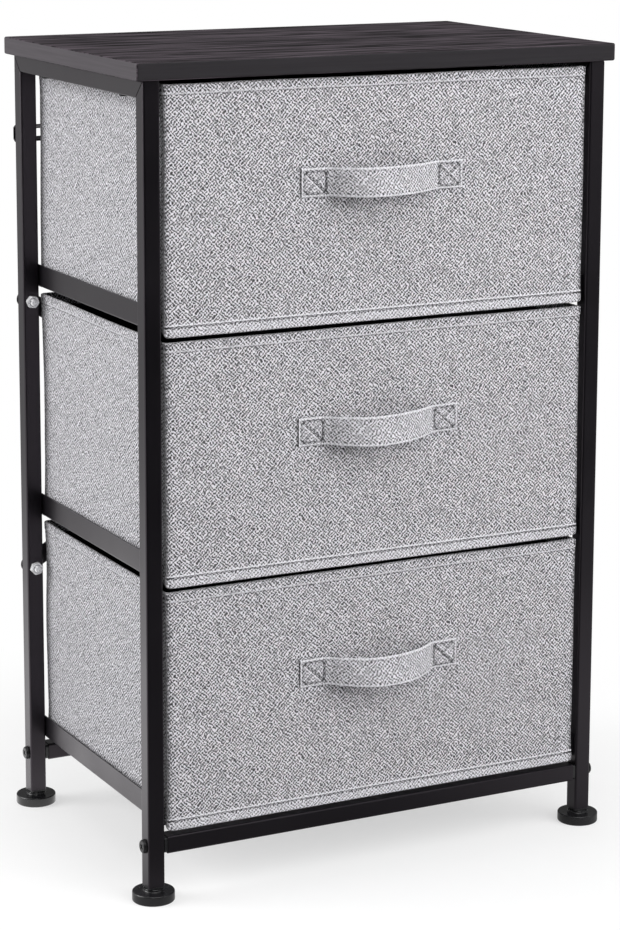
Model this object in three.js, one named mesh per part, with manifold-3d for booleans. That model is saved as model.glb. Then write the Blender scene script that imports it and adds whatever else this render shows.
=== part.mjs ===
// Fabric drawer dresser: a bolted steel tube frame with a wood-look top board, three fabric
// drawers on ledge rails, a cross brace at the back and screw-in levelling feet.
// Millimetres. +X is to the right of someone facing the drawers, +Y to the back, +Z up.
import * as THREE from 'three';
import { mergeVertices } from 'three/addons/utils/BufferGeometryUtils.js';
import Module from 'manifold-3d';

const wasm = await Module();
wasm.setup();

// Overall sizes
const overallHeight = 703;
const boardWidth = 450;
const boardDepth = 290;
const boardThickness = 15;
const boardEdgeRadius = 1.2;
const boardCornerRadius = 2.5;
const boardSideOverhang = 7.5;
const boardFrontOverhang = 5;
const frameWidth = boardWidth - 2 * boardSideOverhang;
const frameDepth = boardDepth - 2 * boardFrontOverhang;

// Clearances
const seatGap = 0.3;
const weldGap = 0.3;
const threadClearance = 0.2;
const holeClearance = 0.4;
const cutOverrun = 2;

// Square steel tube of the legs, top rails and cross bars
const tubeSize = 15;
const tubeWall = 1.2;
const tubeCornerRadius = 1.8;

// Ledge rails that the drawers slide on
const lowestRailBottom = 62.3;
const railHeight = 20;
const railThickness = 1.2;
const railLedgeWidth = 16.5;
const railBendRadius = 2.2;
const railFrontSetback = 5;
const railRearSetback = 3;
const ledgeFrontClearance = 3;
const ledgeRearSetback = 18;

// Cross bars that bolt the two side frames together
const crossBarHeight = 48;
const barCollarLength = 3;
const barCollarInset = 0.7;
const barCollarRadius = 2.4;
const barStemLength = 18;

// Cross brace on the back
const braceUpperHeight = 468.7;
const braceLowerHeight = 224;
const braceWidth = 16;
const braceThickness = 1.5;
const braceJoggleLength = 44;
const braceRampLength = 14;
const rivetShankDiameter = 4.8;
const rivetHeadDiameter = 9;
const rivetHeadHeight = 1.4;

// Fasteners
const boltDiameter = 6;
const boltHeadDiameter = 12;
const boltHeadHeight = 3.3;
const boltTipChamfer = 0.8;
const recessSpan = 5.6;
const recessWidth = 1.3;
const recessDepth = 1.9;
const barBoltGrip = 12;
const braceBoltReach = 2.2;
const nutAcrossFlats = 10;
const nutHeight = 5;
const nutChamfer = 0.7;
const boardScrewDiameter = 4;
const boardScrewHeadDiameter = 7.6;
const boardScrewHeadHeight = 2.4;
const boardScrewBite = 10.5;
const boardScrewPlaceShare = 0.3;

// Wall brackets at the top of the back legs
const bracketHeight = 15;
const bracketDepth = 4;
const bracketThickness = 1.2;
const bracketChamfer = 2.4;
const bracketReach = 32;
const bracketDrop = 85.5;
const bracketSlotWidth = 9;
const bracketSlotHeight = 7;
const bracketSlotEdge = 5;
const bracketRivetDiameter = 5;
const bracketRivetTail = 2;

// Levelling feet and the plugs that hold them
const footDiameter = 36;
const footThickness = 6.5;
const footEdgeRadius = 1.6;
const footNeckDiameter = 15;
const footNeckFlare = 2;
const footStemDiameter = 8;
const footStemLength = 24;
const footStemChamfer = 1;
const legBottomHeight = 12.8;
const plugFlangeThickness = 1.6;
const plugDepth = 30;

// Drawers
const drawerCount = 3;
const drawerGap = 3.5;
const drawerTopGap = 3.7;
const drawerSideClearance = 3.5;
const drawerFrontSetback = 1;
const drawerRearSetback = 7;
const drawerHemDrop = 4.5;
const drawerWall = 2.4;
const drawerFloor = 1.5;
const drawerFrontCornerRadius = 3;
const drawerRearCornerRadius = 5;
const drawerTopHem = 8;
const drawerBottomHem = 8.5;
const fabricThickness = 1.2;
const frontBoardThickness = 3;
const baseBoardThickness = 3;
const baseBoardMargin = 1.5;
const baseBoardCornerRadius = 6;

// Fabric pull handles
const handleCentreHeight = 120;
const handlePatchLength = 25;
const handleSpan = 103;
const handleWidth = 24;
const handleThickness = 1.6;
const handleBow = 28;
const handleEdgeRadius = 0.5;
const handleShiftShares = [0, -0.02, 0];

// Facets
const arcSteps = 2;
const boltSides = 12;
const footSides = 32;
const bowSteps = 24;

// Finishes
const finishes = {
  steel: { color: 0x1d1c1f, roughness: 0.45, metalness: 0.4 },
  board: { color: 0x3d383b, roughness: 0.6, metalness: 0 },
  fabric: { color: 0xaeacb2, roughness: 0.95, metalness: 0 },
  lining: { color: 0x2b2a2c, roughness: 0.95, metalness: 0 },
  zinc: { color: 0xc4c5c8, roughness: 0.3, metalness: 0.9 },
  blackScrew: { color: 0x151517, roughness: 0.4, metalness: 0.5 },
  plastic: { color: 0x161618, roughness: 0.4, metalness: 0 },
  fibreboard: { color: 0x8a7458, roughness: 0.9, metalness: 0 },
};
const materials = {};
for (const [name, values] of Object.entries(finishes)) {
  materials[name] = new THREE.MeshStandardMaterial({ name, ...values });
}

// Places that several pieces share
const boardBottom = overallHeight - boardThickness;
const legCentreX = (frameWidth - tubeSize) / 2;
const legCentreY = (frameDepth - tubeSize) / 2;
const innerHalfWidth = frameWidth / 2 - tubeSize;
const frontPlane = -frameDepth / 2;
const rearPlane = frameDepth / 2;
const rearLegFront = rearPlane - tubeSize;
const tubeBore = tubeSize - 2 * tubeWall;
const boltRadius = boltDiameter / 2;
const boltHoleRadius = boltRadius + holeClearance;
const drawerFrontY = frontPlane + drawerFrontSetback;
const drawerRearY = rearPlane - drawerRearSetback;
const drawerHalfWidth = innerHalfWidth - drawerSideClearance;
const drawerFrontThickness = 2 * fabricThickness + frontBoardThickness + 2 * seatGap;
const bracketCentreHeight = overallHeight - bracketDrop;

// The drawers fill the height between the lowest rail and the board, with equal gaps.
const lowestFloorBottom = lowestRailBottom + railThickness + seatGap;
const frontsHeight = boardBottom - drawerTopGap - (lowestFloorBottom - drawerHemDrop);
const drawerHeight = (frontsHeight - (drawerCount - 1) * drawerGap) / drawerCount;
const railPitch = drawerHeight + drawerGap;
const sides = { left: -1, right: 1 };
const ends = { front: -1, rear: 1 };
const levels = ['lower', 'middle', 'upper'];

const group = new THREE.Group();
const bases = {
  x: new THREE.Matrix4().makeBasis(
    new THREE.Vector3(0, 1, 0), new THREE.Vector3(0, 0, 1), new THREE.Vector3(1, 0, 0)),
  y: new THREE.Matrix4().makeBasis(
    new THREE.Vector3(0, 0, 1), new THREE.Vector3(1, 0, 0), new THREE.Vector3(0, 1, 0)),
  z: new THREE.Matrix4(),
};

// Turns a closed geometry into a solid that can be cut and joined.
function solid(geometry) {
  const bare = geometry.clone();
  bare.deleteAttribute('normal');
  bare.deleteAttribute('uv');
  const merged = mergeVertices(bare);
  const vertProperties = new Float32Array(merged.attributes.position.array);
  const triVerts = new Uint32Array(merged.index.array);
  return new wasm.Manifold(new wasm.Mesh({ numProp: 3, vertProperties, triVerts }));
}

// Turns a solid back into a geometry.
function geometryOf(manifold) {
  const mesh = manifold.getMesh();
  const geometry = new THREE.BufferGeometry();
  geometry.setAttribute('position', new THREE.BufferAttribute(mesh.vertProperties, 3));
  geometry.setIndex(new THREE.BufferAttribute(mesh.triVerts, 1));
  geometry.computeVertexNormals();
  return geometry;
}

function addPiece(name, geometry, finish) {
  const mesh = new THREE.Mesh(geometry, materials[finish]);
  mesh.name = name;
  group.add(mesh);
}

// A rectangle round the origin with rounded corners, as a shape in its own plane.
function roundedRectangle(width, height, radius) {
  const x = width / 2;
  const y = height / 2;
  const quarter = Math.PI / 2;
  const shape = new THREE.Shape();
  shape.moveTo(x, radius - y);
  shape.lineTo(x, y - radius);
  shape.absarc(x - radius, y - radius, radius, 0, quarter, false);
  shape.lineTo(radius - x, y);
  shape.absarc(radius - x, y - radius, radius, quarter, 2 * quarter, false);
  shape.lineTo(-x, radius - y);
  shape.absarc(radius - x, radius - y, radius, 2 * quarter, 3 * quarter, false);
  shape.lineTo(x - radius, -y);
  shape.absarc(x - radius, radius - y, radius, 3 * quarter, 4 * quarter, false);
  return shape;
}

// Extrudes a shape from one place to another along an axis. The shape's own two directions
// become Y and Z for an extrusion along X, Z and X for one along Y, and X and Y along Z.
function prism(shape, axis, from, to) {
  const settings = { depth: to - from, bevelEnabled: false, curveSegments: arcSteps };
  const geometry = new THREE.ExtrudeGeometry(shape, settings);
  geometry.translate(0, 0, from);
  geometry.applyMatrix4(bases[axis]);
  return geometry;
}

function polygon(points) {
  return new THREE.Shape(points.map(([u, v]) => new THREE.Vector2(u, v)));
}

function box(low, high) {
  const size = high.map((value, index) => value - low[index]);
  const geometry = new THREE.BoxGeometry(...size);
  geometry.translate(...size.map((value, index) => low[index] + value / 2));
  return solid(geometry);
}

// A round bar along an axis, through the point that gives its other two places.
function rod(diameter, axis, from, to, point, count = boltSides) {
  const geometry = new THREE.CylinderGeometry(diameter / 2, diameter / 2, to - from, count);
  geometry.rotateX(Math.PI / 2);
  geometry.translate(0, 0, (from + to) / 2);
  geometry.applyMatrix4(bases[axis]);
  geometry.translate(...point);
  return solid(geometry);
}

// A turned piece: the profile's points are radius and height along +Z.
function turned(profile, count) {
  const points = profile.map(([radius, height]) => new THREE.Vector2(radius, height));
  const geometry = new THREE.LatheGeometry(points, count);
  geometry.rotateX(Math.PI / 2);
  return geometry;
}

// A quarter round of a turned profile, from one angle to another about its centre.
function profileArc(centreRadius, centreHeight, radius, from, to) {
  const points = [];
  for (let step = 0; step <= arcSteps; step += 1) {
    const angle = from + (to - from) * step / arcSteps;
    points.push([centreRadius + radius * Math.cos(angle), centreHeight + radius * Math.sin(angle)]);
  }
  return points;
}

function squareTube(axis, from, to) {
  const outline = roundedRectangle(tubeSize, tubeSize, tubeCornerRadius);
  outline.holes.push(roundedRectangle(tubeBore, tubeBore, tubeCornerRadius - tubeWall));
  return solid(prism(outline, axis, from, to));
}

// The wedge that mitres the corner where a leg meets the top rail. Its long face runs from
// the frame's outer top corner to the inner one, moved by half the weld gap to one side.
function mitreWedge(end, keep) {
  const shift = weldGap / Math.SQRT2;
  const reach = tubeSize + cutOverrun;
  const outerY = end * frameDepth / 2;
  const turn = keep === 'leg' ? 1 : -1;
  const top = boardBottom - turn * shift;
  const points = [
    [outerY + end * cutOverrun, top + cutOverrun],
    [outerY - end * reach, top - reach],
    keep === 'leg' ? [outerY - end * reach, top + cutOverrun] : [outerY + end * cutOverrun, top - reach],
  ];
  return solid(prism(polygon(points), 'x', -tubeSize, tubeSize));
}

// The top board, with softened edges and four blind pilot holes underneath.
function topBoard() {
  const shape = roundedRectangle(
    boardWidth - 2 * boardEdgeRadius, boardDepth - 2 * boardEdgeRadius, boardCornerRadius);
  const geometry = new THREE.ExtrudeGeometry(shape, {
    depth: boardThickness - 2 * boardEdgeRadius,
    bevelThickness: boardEdgeRadius,
    bevelSize: boardEdgeRadius,
    bevelSegments: arcSteps,
    curveSegments: arcSteps,
  });
  geometry.translate(0, 0, boardBottom + boardEdgeRadius);
  let board = solid(geometry);
  for (const side of Object.values(sides)) {
    for (const end of Object.values(ends)) {
      const place = [side * legCentreX, end * frameDepth * boardScrewPlaceShare, 0];
      const top = boardBottom + boardScrewBite + seatGap;
      const width = boardScrewDiameter + threadClearance;
      board = board.subtract(rod(width, 'z', boardBottom - cutOverrun, top, place));
    }
  }
  addPiece('top_board', geometryOf(board), 'board');
}

// A leg: a square tube, mitred at the top, drilled for the cross bar's bolt and, at the back,
// for the brace's two bolts and the wall bracket's rivet.
function leg(sideName, endName) {
  const side = sides[sideName];
  const end = ends[endName];
  let tube = squareTube('z', legBottomHeight, boardBottom);
  tube = tube.translate([0, end * legCentreY, 0]).subtract(mitreWedge(end, 'leg'));
  const boltPlace = [0, end * legCentreY, crossBarHeight];
  tube = tube.subtract(rod(2 * boltHoleRadius, 'x', -tubeSize, tubeSize, boltPlace));
  if (endName === 'rear') {
    for (const height of [braceLowerHeight, braceUpperHeight]) {
      const hole = rod(
        2 * boltHoleRadius, 'y', rearLegFront - cutOverrun, rearPlane + cutOverrun, [0, 0, height]);
      tube = tube.subtract(hole);
    }
    const rivetHole = bracketRivetDiameter + 2 * seatGap;
    const rivetPlace = [0, 0, bracketCentreHeight];
    tube = tube.subtract(
      rod(rivetHole, 'y', rearPlane - tubeSize / 2, rearPlane + cutOverrun, rivetPlace));
  }
  tube = tube.translate([side * legCentreX, 0, 0]);
  addPiece(`${endName}_leg_${sideName}`, geometryOf(tube), 'steel');
}

// A top rail: the same tube from front to back, mitred into both legs, with two screw holes.
function topRail(sideName) {
  const side = sides[sideName];
  let tube = squareTube('y', frontPlane, rearPlane).translate([0, 0, boardBottom - tubeSize / 2]);
  for (const end of Object.values(ends)) {
    tube = tube.subtract(mitreWedge(end, 'rail'));
    const place = [0, end * frameDepth * boardScrewPlaceShare, 0];
    const width = boardScrewDiameter + 2 * holeClearance;
    tube = tube.subtract(
      rod(width, 'z', boardBottom - tubeSize - cutOverrun, boardBottom + cutOverrun, place));
  }
  addPiece(`top_rail_${sideName}`, geometryOf(tube.translate([side * legCentreX, 0, 0])), 'steel');
}

// A ledge rail: an angle folded from sheet steel, welded to the inner faces of the legs. Its
// ledge points inwards and stops behind the drawer's front, and the fold is rounded.
function ledgeRail(sideName, level) {
  const side = sides[sideName];
  const bottom = lowestRailBottom + level * railPitch;
  const outer = side * innerHalfWidth;
  const inner = (distance) => outer - side * distance;
  const shape = new THREE.Shape();
  const bendCentre = railBendRadius;
  const start = side > 0 ? 0 : Math.PI;
  const down = side > 0 ? -Math.PI / 2 : Math.PI * 1.5;
  // The shape's first direction is Z and its second is X.
  shape.moveTo(bottom + railHeight, outer);
  shape.lineTo(bottom + bendCentre, outer);
  const arc = (radius, from, to) => {
    for (let step = 0; step <= arcSteps; step += 1) {
      const angle = from + (to - from) * step / arcSteps;
      shape.lineTo(
        bottom + bendCentre + radius * Math.sin(angle), inner(bendCentre) + radius * Math.cos(angle));
    }
  };
  arc(railBendRadius, start, down);
  shape.lineTo(bottom, inner(railLedgeWidth));
  shape.lineTo(bottom + railThickness, inner(railLedgeWidth));
  arc(railBendRadius - railThickness, down, start);
  shape.lineTo(bottom + railHeight, inner(railThickness));
  const from = frontPlane + railFrontSetback;
  const to = rearPlane - railRearSetback;
  let rail = solid(prism(shape, 'y', from, to));
  const ledgeFront = drawerFrontY + drawerFrontThickness + ledgeFrontClearance;
  const ledgeRear = rearPlane - ledgeRearSetback;
  const clearFrom = side > 0 ? inner(railLedgeWidth + cutOverrun) : inner(railThickness);
  const clearTo = side > 0 ? inner(railThickness) : inner(railLedgeWidth + cutOverrun);
  const cutTop = bottom + railBendRadius + cutOverrun;
  for (const [low, high] of [[from - cutOverrun, ledgeFront], [ledgeRear, to + cutOverrun]]) {
    rail = rail.subtract(box([clearFrom, low, bottom - cutOverrun], [clearTo, high, cutTop]));
  }
  addPiece(`ledge_rail_${levels[level]}_${sideName}`, geometryOf(rail), 'steel');
}

// A cross bar and, in each of its ends, a plug with a collar and a threaded bore.
function crossBar(endName) {
  const end = ends[endName];
  const barEnd = innerHalfWidth - barCollarLength;
  const place = [0, end * legCentreY, crossBarHeight];
  const bar = squareTube('x', -barEnd, barEnd).translate(place);
  addPiece(`${endName}_cross_bar`, geometryOf(bar), 'steel');
  for (const [sideName, side] of Object.entries(sides)) {
    const collarSize = tubeSize - 2 * barCollarInset;
    const stemSize = tubeBore - 2 * seatGap;
    const collarEnds = [side * barEnd, side * innerHalfWidth].sort((a, b) => a - b);
    const stemEnds = [side * barEnd, side * (barEnd - barStemLength)].sort((a, b) => a - b);
    const collar = solid(prism(
      roundedRectangle(collarSize, collarSize, barCollarRadius), 'x', ...collarEnds));
    const stem = solid(prism(
      roundedRectangle(stemSize, stemSize, tubeCornerRadius - tubeWall), 'x', ...stemEnds));
    const bore = rod(
      boltDiameter + 2 * threadClearance, 'x', -frameWidth / 2, frameWidth / 2, [0, 0, 0]);
    const plug = collar.add(stem).subtract(bore).translate(place);
    addPiece(`bar_plug_${endName}_${sideName}`, geometryOf(plug), 'plastic');
  }
}

// A pan-head bolt along +Z with its head's underside at zero and a cross recess in the head.
function panBolt(diameter, length, headDiameter, headHeight) {
  const radius = diameter / 2;
  const headRadius = headDiameter / 2;
  const rim = headHeight / 2;
  const profile = [
    [0, -headHeight],
    [headRadius - rim, -headHeight],
    ...profileArc(headRadius - rim, rim - headHeight, rim, -Math.PI / 2, 0),
    [headRadius, 0],
    [radius, 0],
    [radius, length - boltTipChamfer],
    [radius - boltTipChamfer, length],
    [0, length],
  ];
  const unique = profile.filter((point, index) => {
    const last = profile[index - 1];
    return !last || Math.hypot(point[0] - last[0], point[1] - last[1]) > 0;
  });
  const scale = headDiameter / boltHeadDiameter;
  const half = recessSpan * scale / 2;
  const slot = recessWidth * scale / 2;
  const floor = recessDepth * headHeight / boltHeadHeight - headHeight;
  const low = -headHeight - cutOverrun;
  let bolt = solid(turned(unique, boltSides));
  bolt = bolt.subtract(box([-half, -slot, low], [half, slot, floor]));
  bolt = bolt.subtract(box([-slot, -half, low], [slot, half, floor]));
  return geometryOf(bolt);
}

// The bolts that go through the legs' outer faces into the cross bars' plugs.
function barBolt(endName, sideName) {
  const side = sides[sideName];
  const length = tubeSize + barCollarLength + barBoltGrip;
  const bolt = panBolt(boltDiameter, length, boltHeadDiameter, boltHeadHeight);
  bolt.rotateY(-side * Math.PI / 2);
  bolt.translate(side * frameWidth / 2, ends[endName] * legCentreY, crossBarHeight);
  addPiece(`bar_bolt_${endName}_${sideName}`, bolt, 'blackScrew');
}

// The screws that go up through the top rails into the board.
function boardScrew(endName, sideName) {
  const length = tubeSize + boardScrewBite;
  const screw = panBolt(
    boardScrewDiameter, length, boardScrewHeadDiameter, boardScrewHeadHeight);
  const y = ends[endName] * frameDepth * boardScrewPlaceShare;
  screw.translate(sides[sideName] * legCentreX, y, boardBottom - tubeSize);
  addPiece(`board_screw_${endName}_${sideName}`, screw, 'blackScrew');
}

// The brace's two strips cross behind the middle drawer. The second is joggled over the first.
const braceRise = braceUpperHeight - braceLowerHeight;
const braceAngle = Math.atan2(braceRise, 2 * legCentreX);
const braceHoleDistance = Math.hypot(2 * legCentreX, braceRise);
const braceCentreHeight = (braceUpperHeight + braceLowerHeight) / 2;

function braceStrip(name, slope, joggled) {
  const half = braceHoleDistance / 2;
  const reach = half + braceWidth / 2;
  const lift = joggled ? braceThickness + seatGap : 0;
  const level = braceJoggleLength / 2;
  const foot = level + braceRampLength;
  const back = [[-reach, 0], [-foot, 0], [-level, lift], [level, lift], [foot, 0], [reach, 0]];
  const front = back.map(([u, v]) => [u, v + braceThickness]).reverse();
  const plate = joggled ? [...back, ...front] : [back[0], back[5], front[0], front[5]];
  // The profile lies in X and Y, and the strip's width is Z.
  let strip = solid(prism(polygon(plate), 'z', -braceWidth / 2, braceWidth / 2));
  const outline = new THREE.Shape();
  outline.absarc(-half, 0, braceWidth / 2, Math.PI / 2, Math.PI * 1.5, false);
  outline.absarc(half, 0, braceWidth / 2, -Math.PI / 2, Math.PI / 2, false);
  const settings = {
    depth: braceThickness * 2 + lift + 2 * cutOverrun,
    bevelEnabled: false,
    curveSegments: 2 * arcSteps,
  };
  const stadium = new THREE.ExtrudeGeometry(outline, settings);
  stadium.rotateX(Math.PI / 2);
  stadium.translate(0, settings.depth - cutOverrun, 0);
  strip = strip.intersect(solid(stadium));
  const through = [-cutOverrun, settings.depth];
  for (const place of [-half, half]) {
    strip = strip.subtract(rod(2 * boltHoleRadius, 'y', ...through, [place, 0, 0]));
  }
  const rivetHole = rivetShankDiameter + 2 * threadClearance;
  strip = strip.subtract(rod(rivetHole, 'y', ...through, [0, 0, 0]));
  const geometry = geometryOf(strip);
  geometry.rotateY(-slope * braceAngle);
  geometry.translate(0, rearPlane, braceCentreHeight);
  addPiece(name, geometry, 'steel');
}

// The rivet where the strips cross: a round head on each side of the pair.
function braceRivet() {
  const headRadius = rivetHeadDiameter / 2;
  const grip = 2 * braceThickness + seatGap;
  const shoulder = rivetHeadHeight / 2;
  const profile = [
    [0, -rivetHeadHeight],
    [headRadius - shoulder, -rivetHeadHeight],
    [headRadius, -shoulder],
    [headRadius, 0],
    [rivetShankDiameter / 2, 0],
    [rivetShankDiameter / 2, grip],
    [headRadius, grip],
    [headRadius, grip + shoulder],
    [headRadius - shoulder, grip + rivetHeadHeight],
    [0, grip + rivetHeadHeight],
  ];
  const rivet = turned(profile, boltSides);
  rivet.rotateX(-Math.PI / 2);
  rivet.translate(0, rearPlane, braceCentreHeight);
  addPiece('brace_rivet', rivet, 'zinc');
}

// A bolt through the back leg and the strip, with its head at the back and a hexagon nut on
// the leg's front face.
function braceFastening(heightName, height, sideName) {
  const x = sides[sideName] * legCentreX;
  const length = braceThickness + tubeSize + nutHeight + braceBoltReach;
  const bolt = panBolt(boltDiameter, length, boltHeadDiameter, boltHeadHeight);
  bolt.rotateX(Math.PI / 2);
  bolt.translate(x, rearPlane + braceThickness, height);
  addPiece(`brace_bolt_${heightName}_${sideName}`, bolt, 'zinc');

  const cornerRadius = nutAcrossFlats / Math.sqrt(3);
  const hexagon = new THREE.CylinderGeometry(cornerRadius, cornerRadius, nutHeight, 6);
  const coneRadius = cornerRadius - nutChamfer;
  const crown = turned([
    [0, -nutHeight / 2],
    [cornerRadius, -nutHeight / 2],
    [cornerRadius, nutHeight / 2 - nutChamfer],
    [coneRadius, nutHeight / 2],
    [0, nutHeight / 2],
  ], 2 * boltSides);
  hexagon.rotateX(Math.PI / 2);
  const bore = rod(
    boltDiameter + 2 * threadClearance, 'z', -nutHeight, nutHeight, [0, 0, 0]);
  const nut = geometryOf(solid(hexagon).intersect(solid(crown)).subtract(bore));
  nut.rotateX(Math.PI / 2);
  nut.translate(x, rearLegFront - nutHeight / 2, height);
  addPiece(`brace_nut_${heightName}_${sideName}`, nut, 'zinc');
}

// A wall bracket: a folded channel against the back leg that reaches inwards to a slot for a
// strap, held by a rivet formed out of its own web.
function wallBracket(sideName) {
  const side = sides[sideName];
  const half = bracketHeight / 2;
  const slope = bracketChamfer / bracketDepth;
  const skin = bracketThickness * Math.hypot(1, slope);
  const webInside = bracketDepth - bracketThickness;
  const profile = [
    [half, 0],
    [half - bracketChamfer, bracketDepth],
    [bracketChamfer - half, bracketDepth],
    [-half, 0],
    [skin - half, 0],
    [skin - half + slope * webInside, webInside],
    [half - skin - slope * webInside, webInside],
    [half - skin, 0],
  ];
  // The profile is given as height and depth, which the extrusion takes as depth and height.
  const shape = polygon(profile.map(([height, depth]) => [rearPlane + depth, height]));
  const outerX = side * frameWidth / 2;
  const innerX = outerX - side * bracketReach;
  const span = [Math.min(outerX, innerX), Math.max(outerX, innerX)];
  let bracket = solid(prism(shape, 'x', ...span));
  const slotNear = innerX + side * bracketSlotEdge;
  const slotFar = slotNear + side * bracketSlotWidth;
  bracket = bracket.subtract(box(
    [Math.min(slotNear, slotFar), rearPlane - cutOverrun, -bracketSlotHeight / 2],
    [Math.max(slotNear, slotFar), rearPlane + bracketDepth + cutOverrun, bracketSlotHeight / 2]));
  const tail = rearPlane - tubeWall - bracketRivetTail;
  const rivet = rod(
    bracketRivetDiameter, 'y', tail, rearPlane + webInside + bracketThickness / 2,
    [side * legCentreX, 0, 0]);
  bracket = bracket.add(rivet).translate([0, 0, bracketCentreHeight]);
  addPiece(`wall_bracket_${sideName}`, geometryOf(bracket), 'steel');
}

// The plug pressed into a leg's lower end: a flange, a square stem and a threaded bore.
function legPlug(endName, sideName) {
  const flangeBottom = legBottomHeight - plugFlangeThickness;
  const flange = solid(prism(
    roundedRectangle(tubeSize, tubeSize, tubeCornerRadius), 'z', flangeBottom, legBottomHeight));
  const stemSize = tubeBore - 2 * seatGap;
  const stem = solid(prism(
    roundedRectangle(stemSize, stemSize, tubeCornerRadius - tubeWall), 'z',
    legBottomHeight, legBottomHeight + plugDepth));
  const boreWidth = footStemDiameter + 2 * threadClearance;
  const bore = rod(
    boreWidth, 'z', flangeBottom - cutOverrun, legBottomHeight + plugDepth + cutOverrun, [0, 0, 0]);
  const place = [sides[sideName] * legCentreX, ends[endName] * legCentreY, 0];
  const plug = flange.add(stem).subtract(bore).translate(place);
  addPiece(`leg_plug_${endName}_${sideName}`, geometryOf(plug), 'plastic');
}

// A levelling foot: a round pad with softened edges, a neck and a threaded stem.
function levellingFoot(endName, sideName) {
  const radius = footDiameter / 2;
  const neck = footNeckDiameter / 2;
  const stem = footStemDiameter / 2;
  const neckTop = legBottomHeight - plugFlangeThickness - seatGap;
  const stemTop = neckTop + footStemLength;
  const edge = footEdgeRadius;
  const profile = [
    [0, 0],
    [radius - edge, 0],
    ...profileArc(radius - edge, edge, edge, -Math.PI / 2, 0).slice(1),
    ...profileArc(radius - edge, footThickness - edge, edge, 0, Math.PI / 2),
    [neck + footNeckFlare, footThickness],
    [neck, footThickness + footNeckFlare],
    [neck, neckTop],
    [stem, neckTop],
    [stem, stemTop - footStemChamfer],
    [stem - footStemChamfer, stemTop],
    [0, stemTop],
  ];
  const foot = turned(profile, footSides);
  foot.translate(sides[sideName] * legCentreX, ends[endName] * legCentreY, 0);
  addPiece(`levelling_foot_${endName}_${sideName}`, foot, 'plastic');
}

// A drawer's fabric body: four sewn walls and a floor, and a front wall that is a sleeve for
// its stiffening board, open along its lower edge, which hangs a little below the floor.
function drawerShell(name, floorBottom) {
  const frontBottom = floorBottom - drawerHemDrop;
  const top = frontBottom + drawerHeight;
  const centreY = (drawerFrontY + drawerRearY) / 2;
  const width = 2 * drawerHalfWidth;
  const plan = new THREE.Shape();
  const front = drawerFrontCornerRadius;
  const rear = drawerRearCornerRadius;
  const x = drawerHalfWidth;
  const quarter = Math.PI / 2;
  plan.moveTo(x, drawerFrontY + front);
  plan.lineTo(x, drawerRearY - rear);
  plan.absarc(x - rear, drawerRearY - rear, rear, 0, quarter, false);
  plan.lineTo(rear - x, drawerRearY);
  plan.absarc(rear - x, drawerRearY - rear, rear, quarter, 2 * quarter, false);
  plan.lineTo(-x, drawerFrontY + front);
  plan.absarc(front - x, drawerFrontY + front, front, 2 * quarter, 3 * quarter, false);
  plan.lineTo(x - front, drawerFrontY);
  plan.absarc(x - front, drawerFrontY + front, front, 3 * quarter, 4 * quarter, false);
  const block = solid(prism(plan, 'z', frontBottom, top));
  const insideFront = drawerFrontY + drawerFrontThickness;
  const insideDepth = drawerRearY - drawerWall - insideFront;
  const inside = solid(prism(
    roundedRectangle(width - 2 * drawerWall, insideDepth, rear - drawerWall), 'z',
    floorBottom + drawerFloor, top + cutOverrun));
  const below = box(
    [-x - cutOverrun, insideFront, frontBottom - cutOverrun],
    [x + cutOverrun, drawerRearY + cutOverrun, floorBottom]);
  const sleeveWidth = width - 2 * drawerWall;
  const sleeveFront = drawerFrontY + fabricThickness;
  const sleeve = box(
    [-sleeveWidth / 2, sleeveFront, frontBottom - cutOverrun],
    [sleeveWidth / 2, sleeveFront + frontBoardThickness + 2 * seatGap, top - drawerTopHem]);
  const shell = block
    .subtract(inside.translate([0, insideFront + insideDepth / 2, 0]))
    .subtract(below)
    .subtract(sleeve);
  addPiece(`${name}_fabric_body`, geometryOf(shell), 'fabric');

  // The stiffening board stands in the sleeve, above the lower seam.
  const boardLow = frontBottom + drawerBottomHem;
  const boardHigh = top - drawerTopHem - seatGap;
  const boardWide = sleeveWidth - 2 * seatGap;
  const stiffener = box(
    [-boardWide / 2, sleeveFront + seatGap, boardLow],
    [boardWide / 2, sleeveFront + seatGap + frontBoardThickness, boardHigh]);
  addPiece(`${name}_front_board`, geometryOf(stiffener), 'fibreboard');

  // The base board lies loose on the floor.
  const baseWidth = width - 2 * drawerWall - 2 * baseBoardMargin;
  const baseDepth = insideDepth - 2 * baseBoardMargin;
  const baseLow = floorBottom + drawerFloor + seatGap;
  const base = prism(
    roundedRectangle(baseWidth, baseDepth, baseBoardCornerRadius), 'z',
    baseLow, baseLow + baseBoardThickness);
  base.translate(0, insideFront + insideDepth / 2, 0);
  addPiece(`${name}_base_board`, base, 'lining');
}

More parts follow.
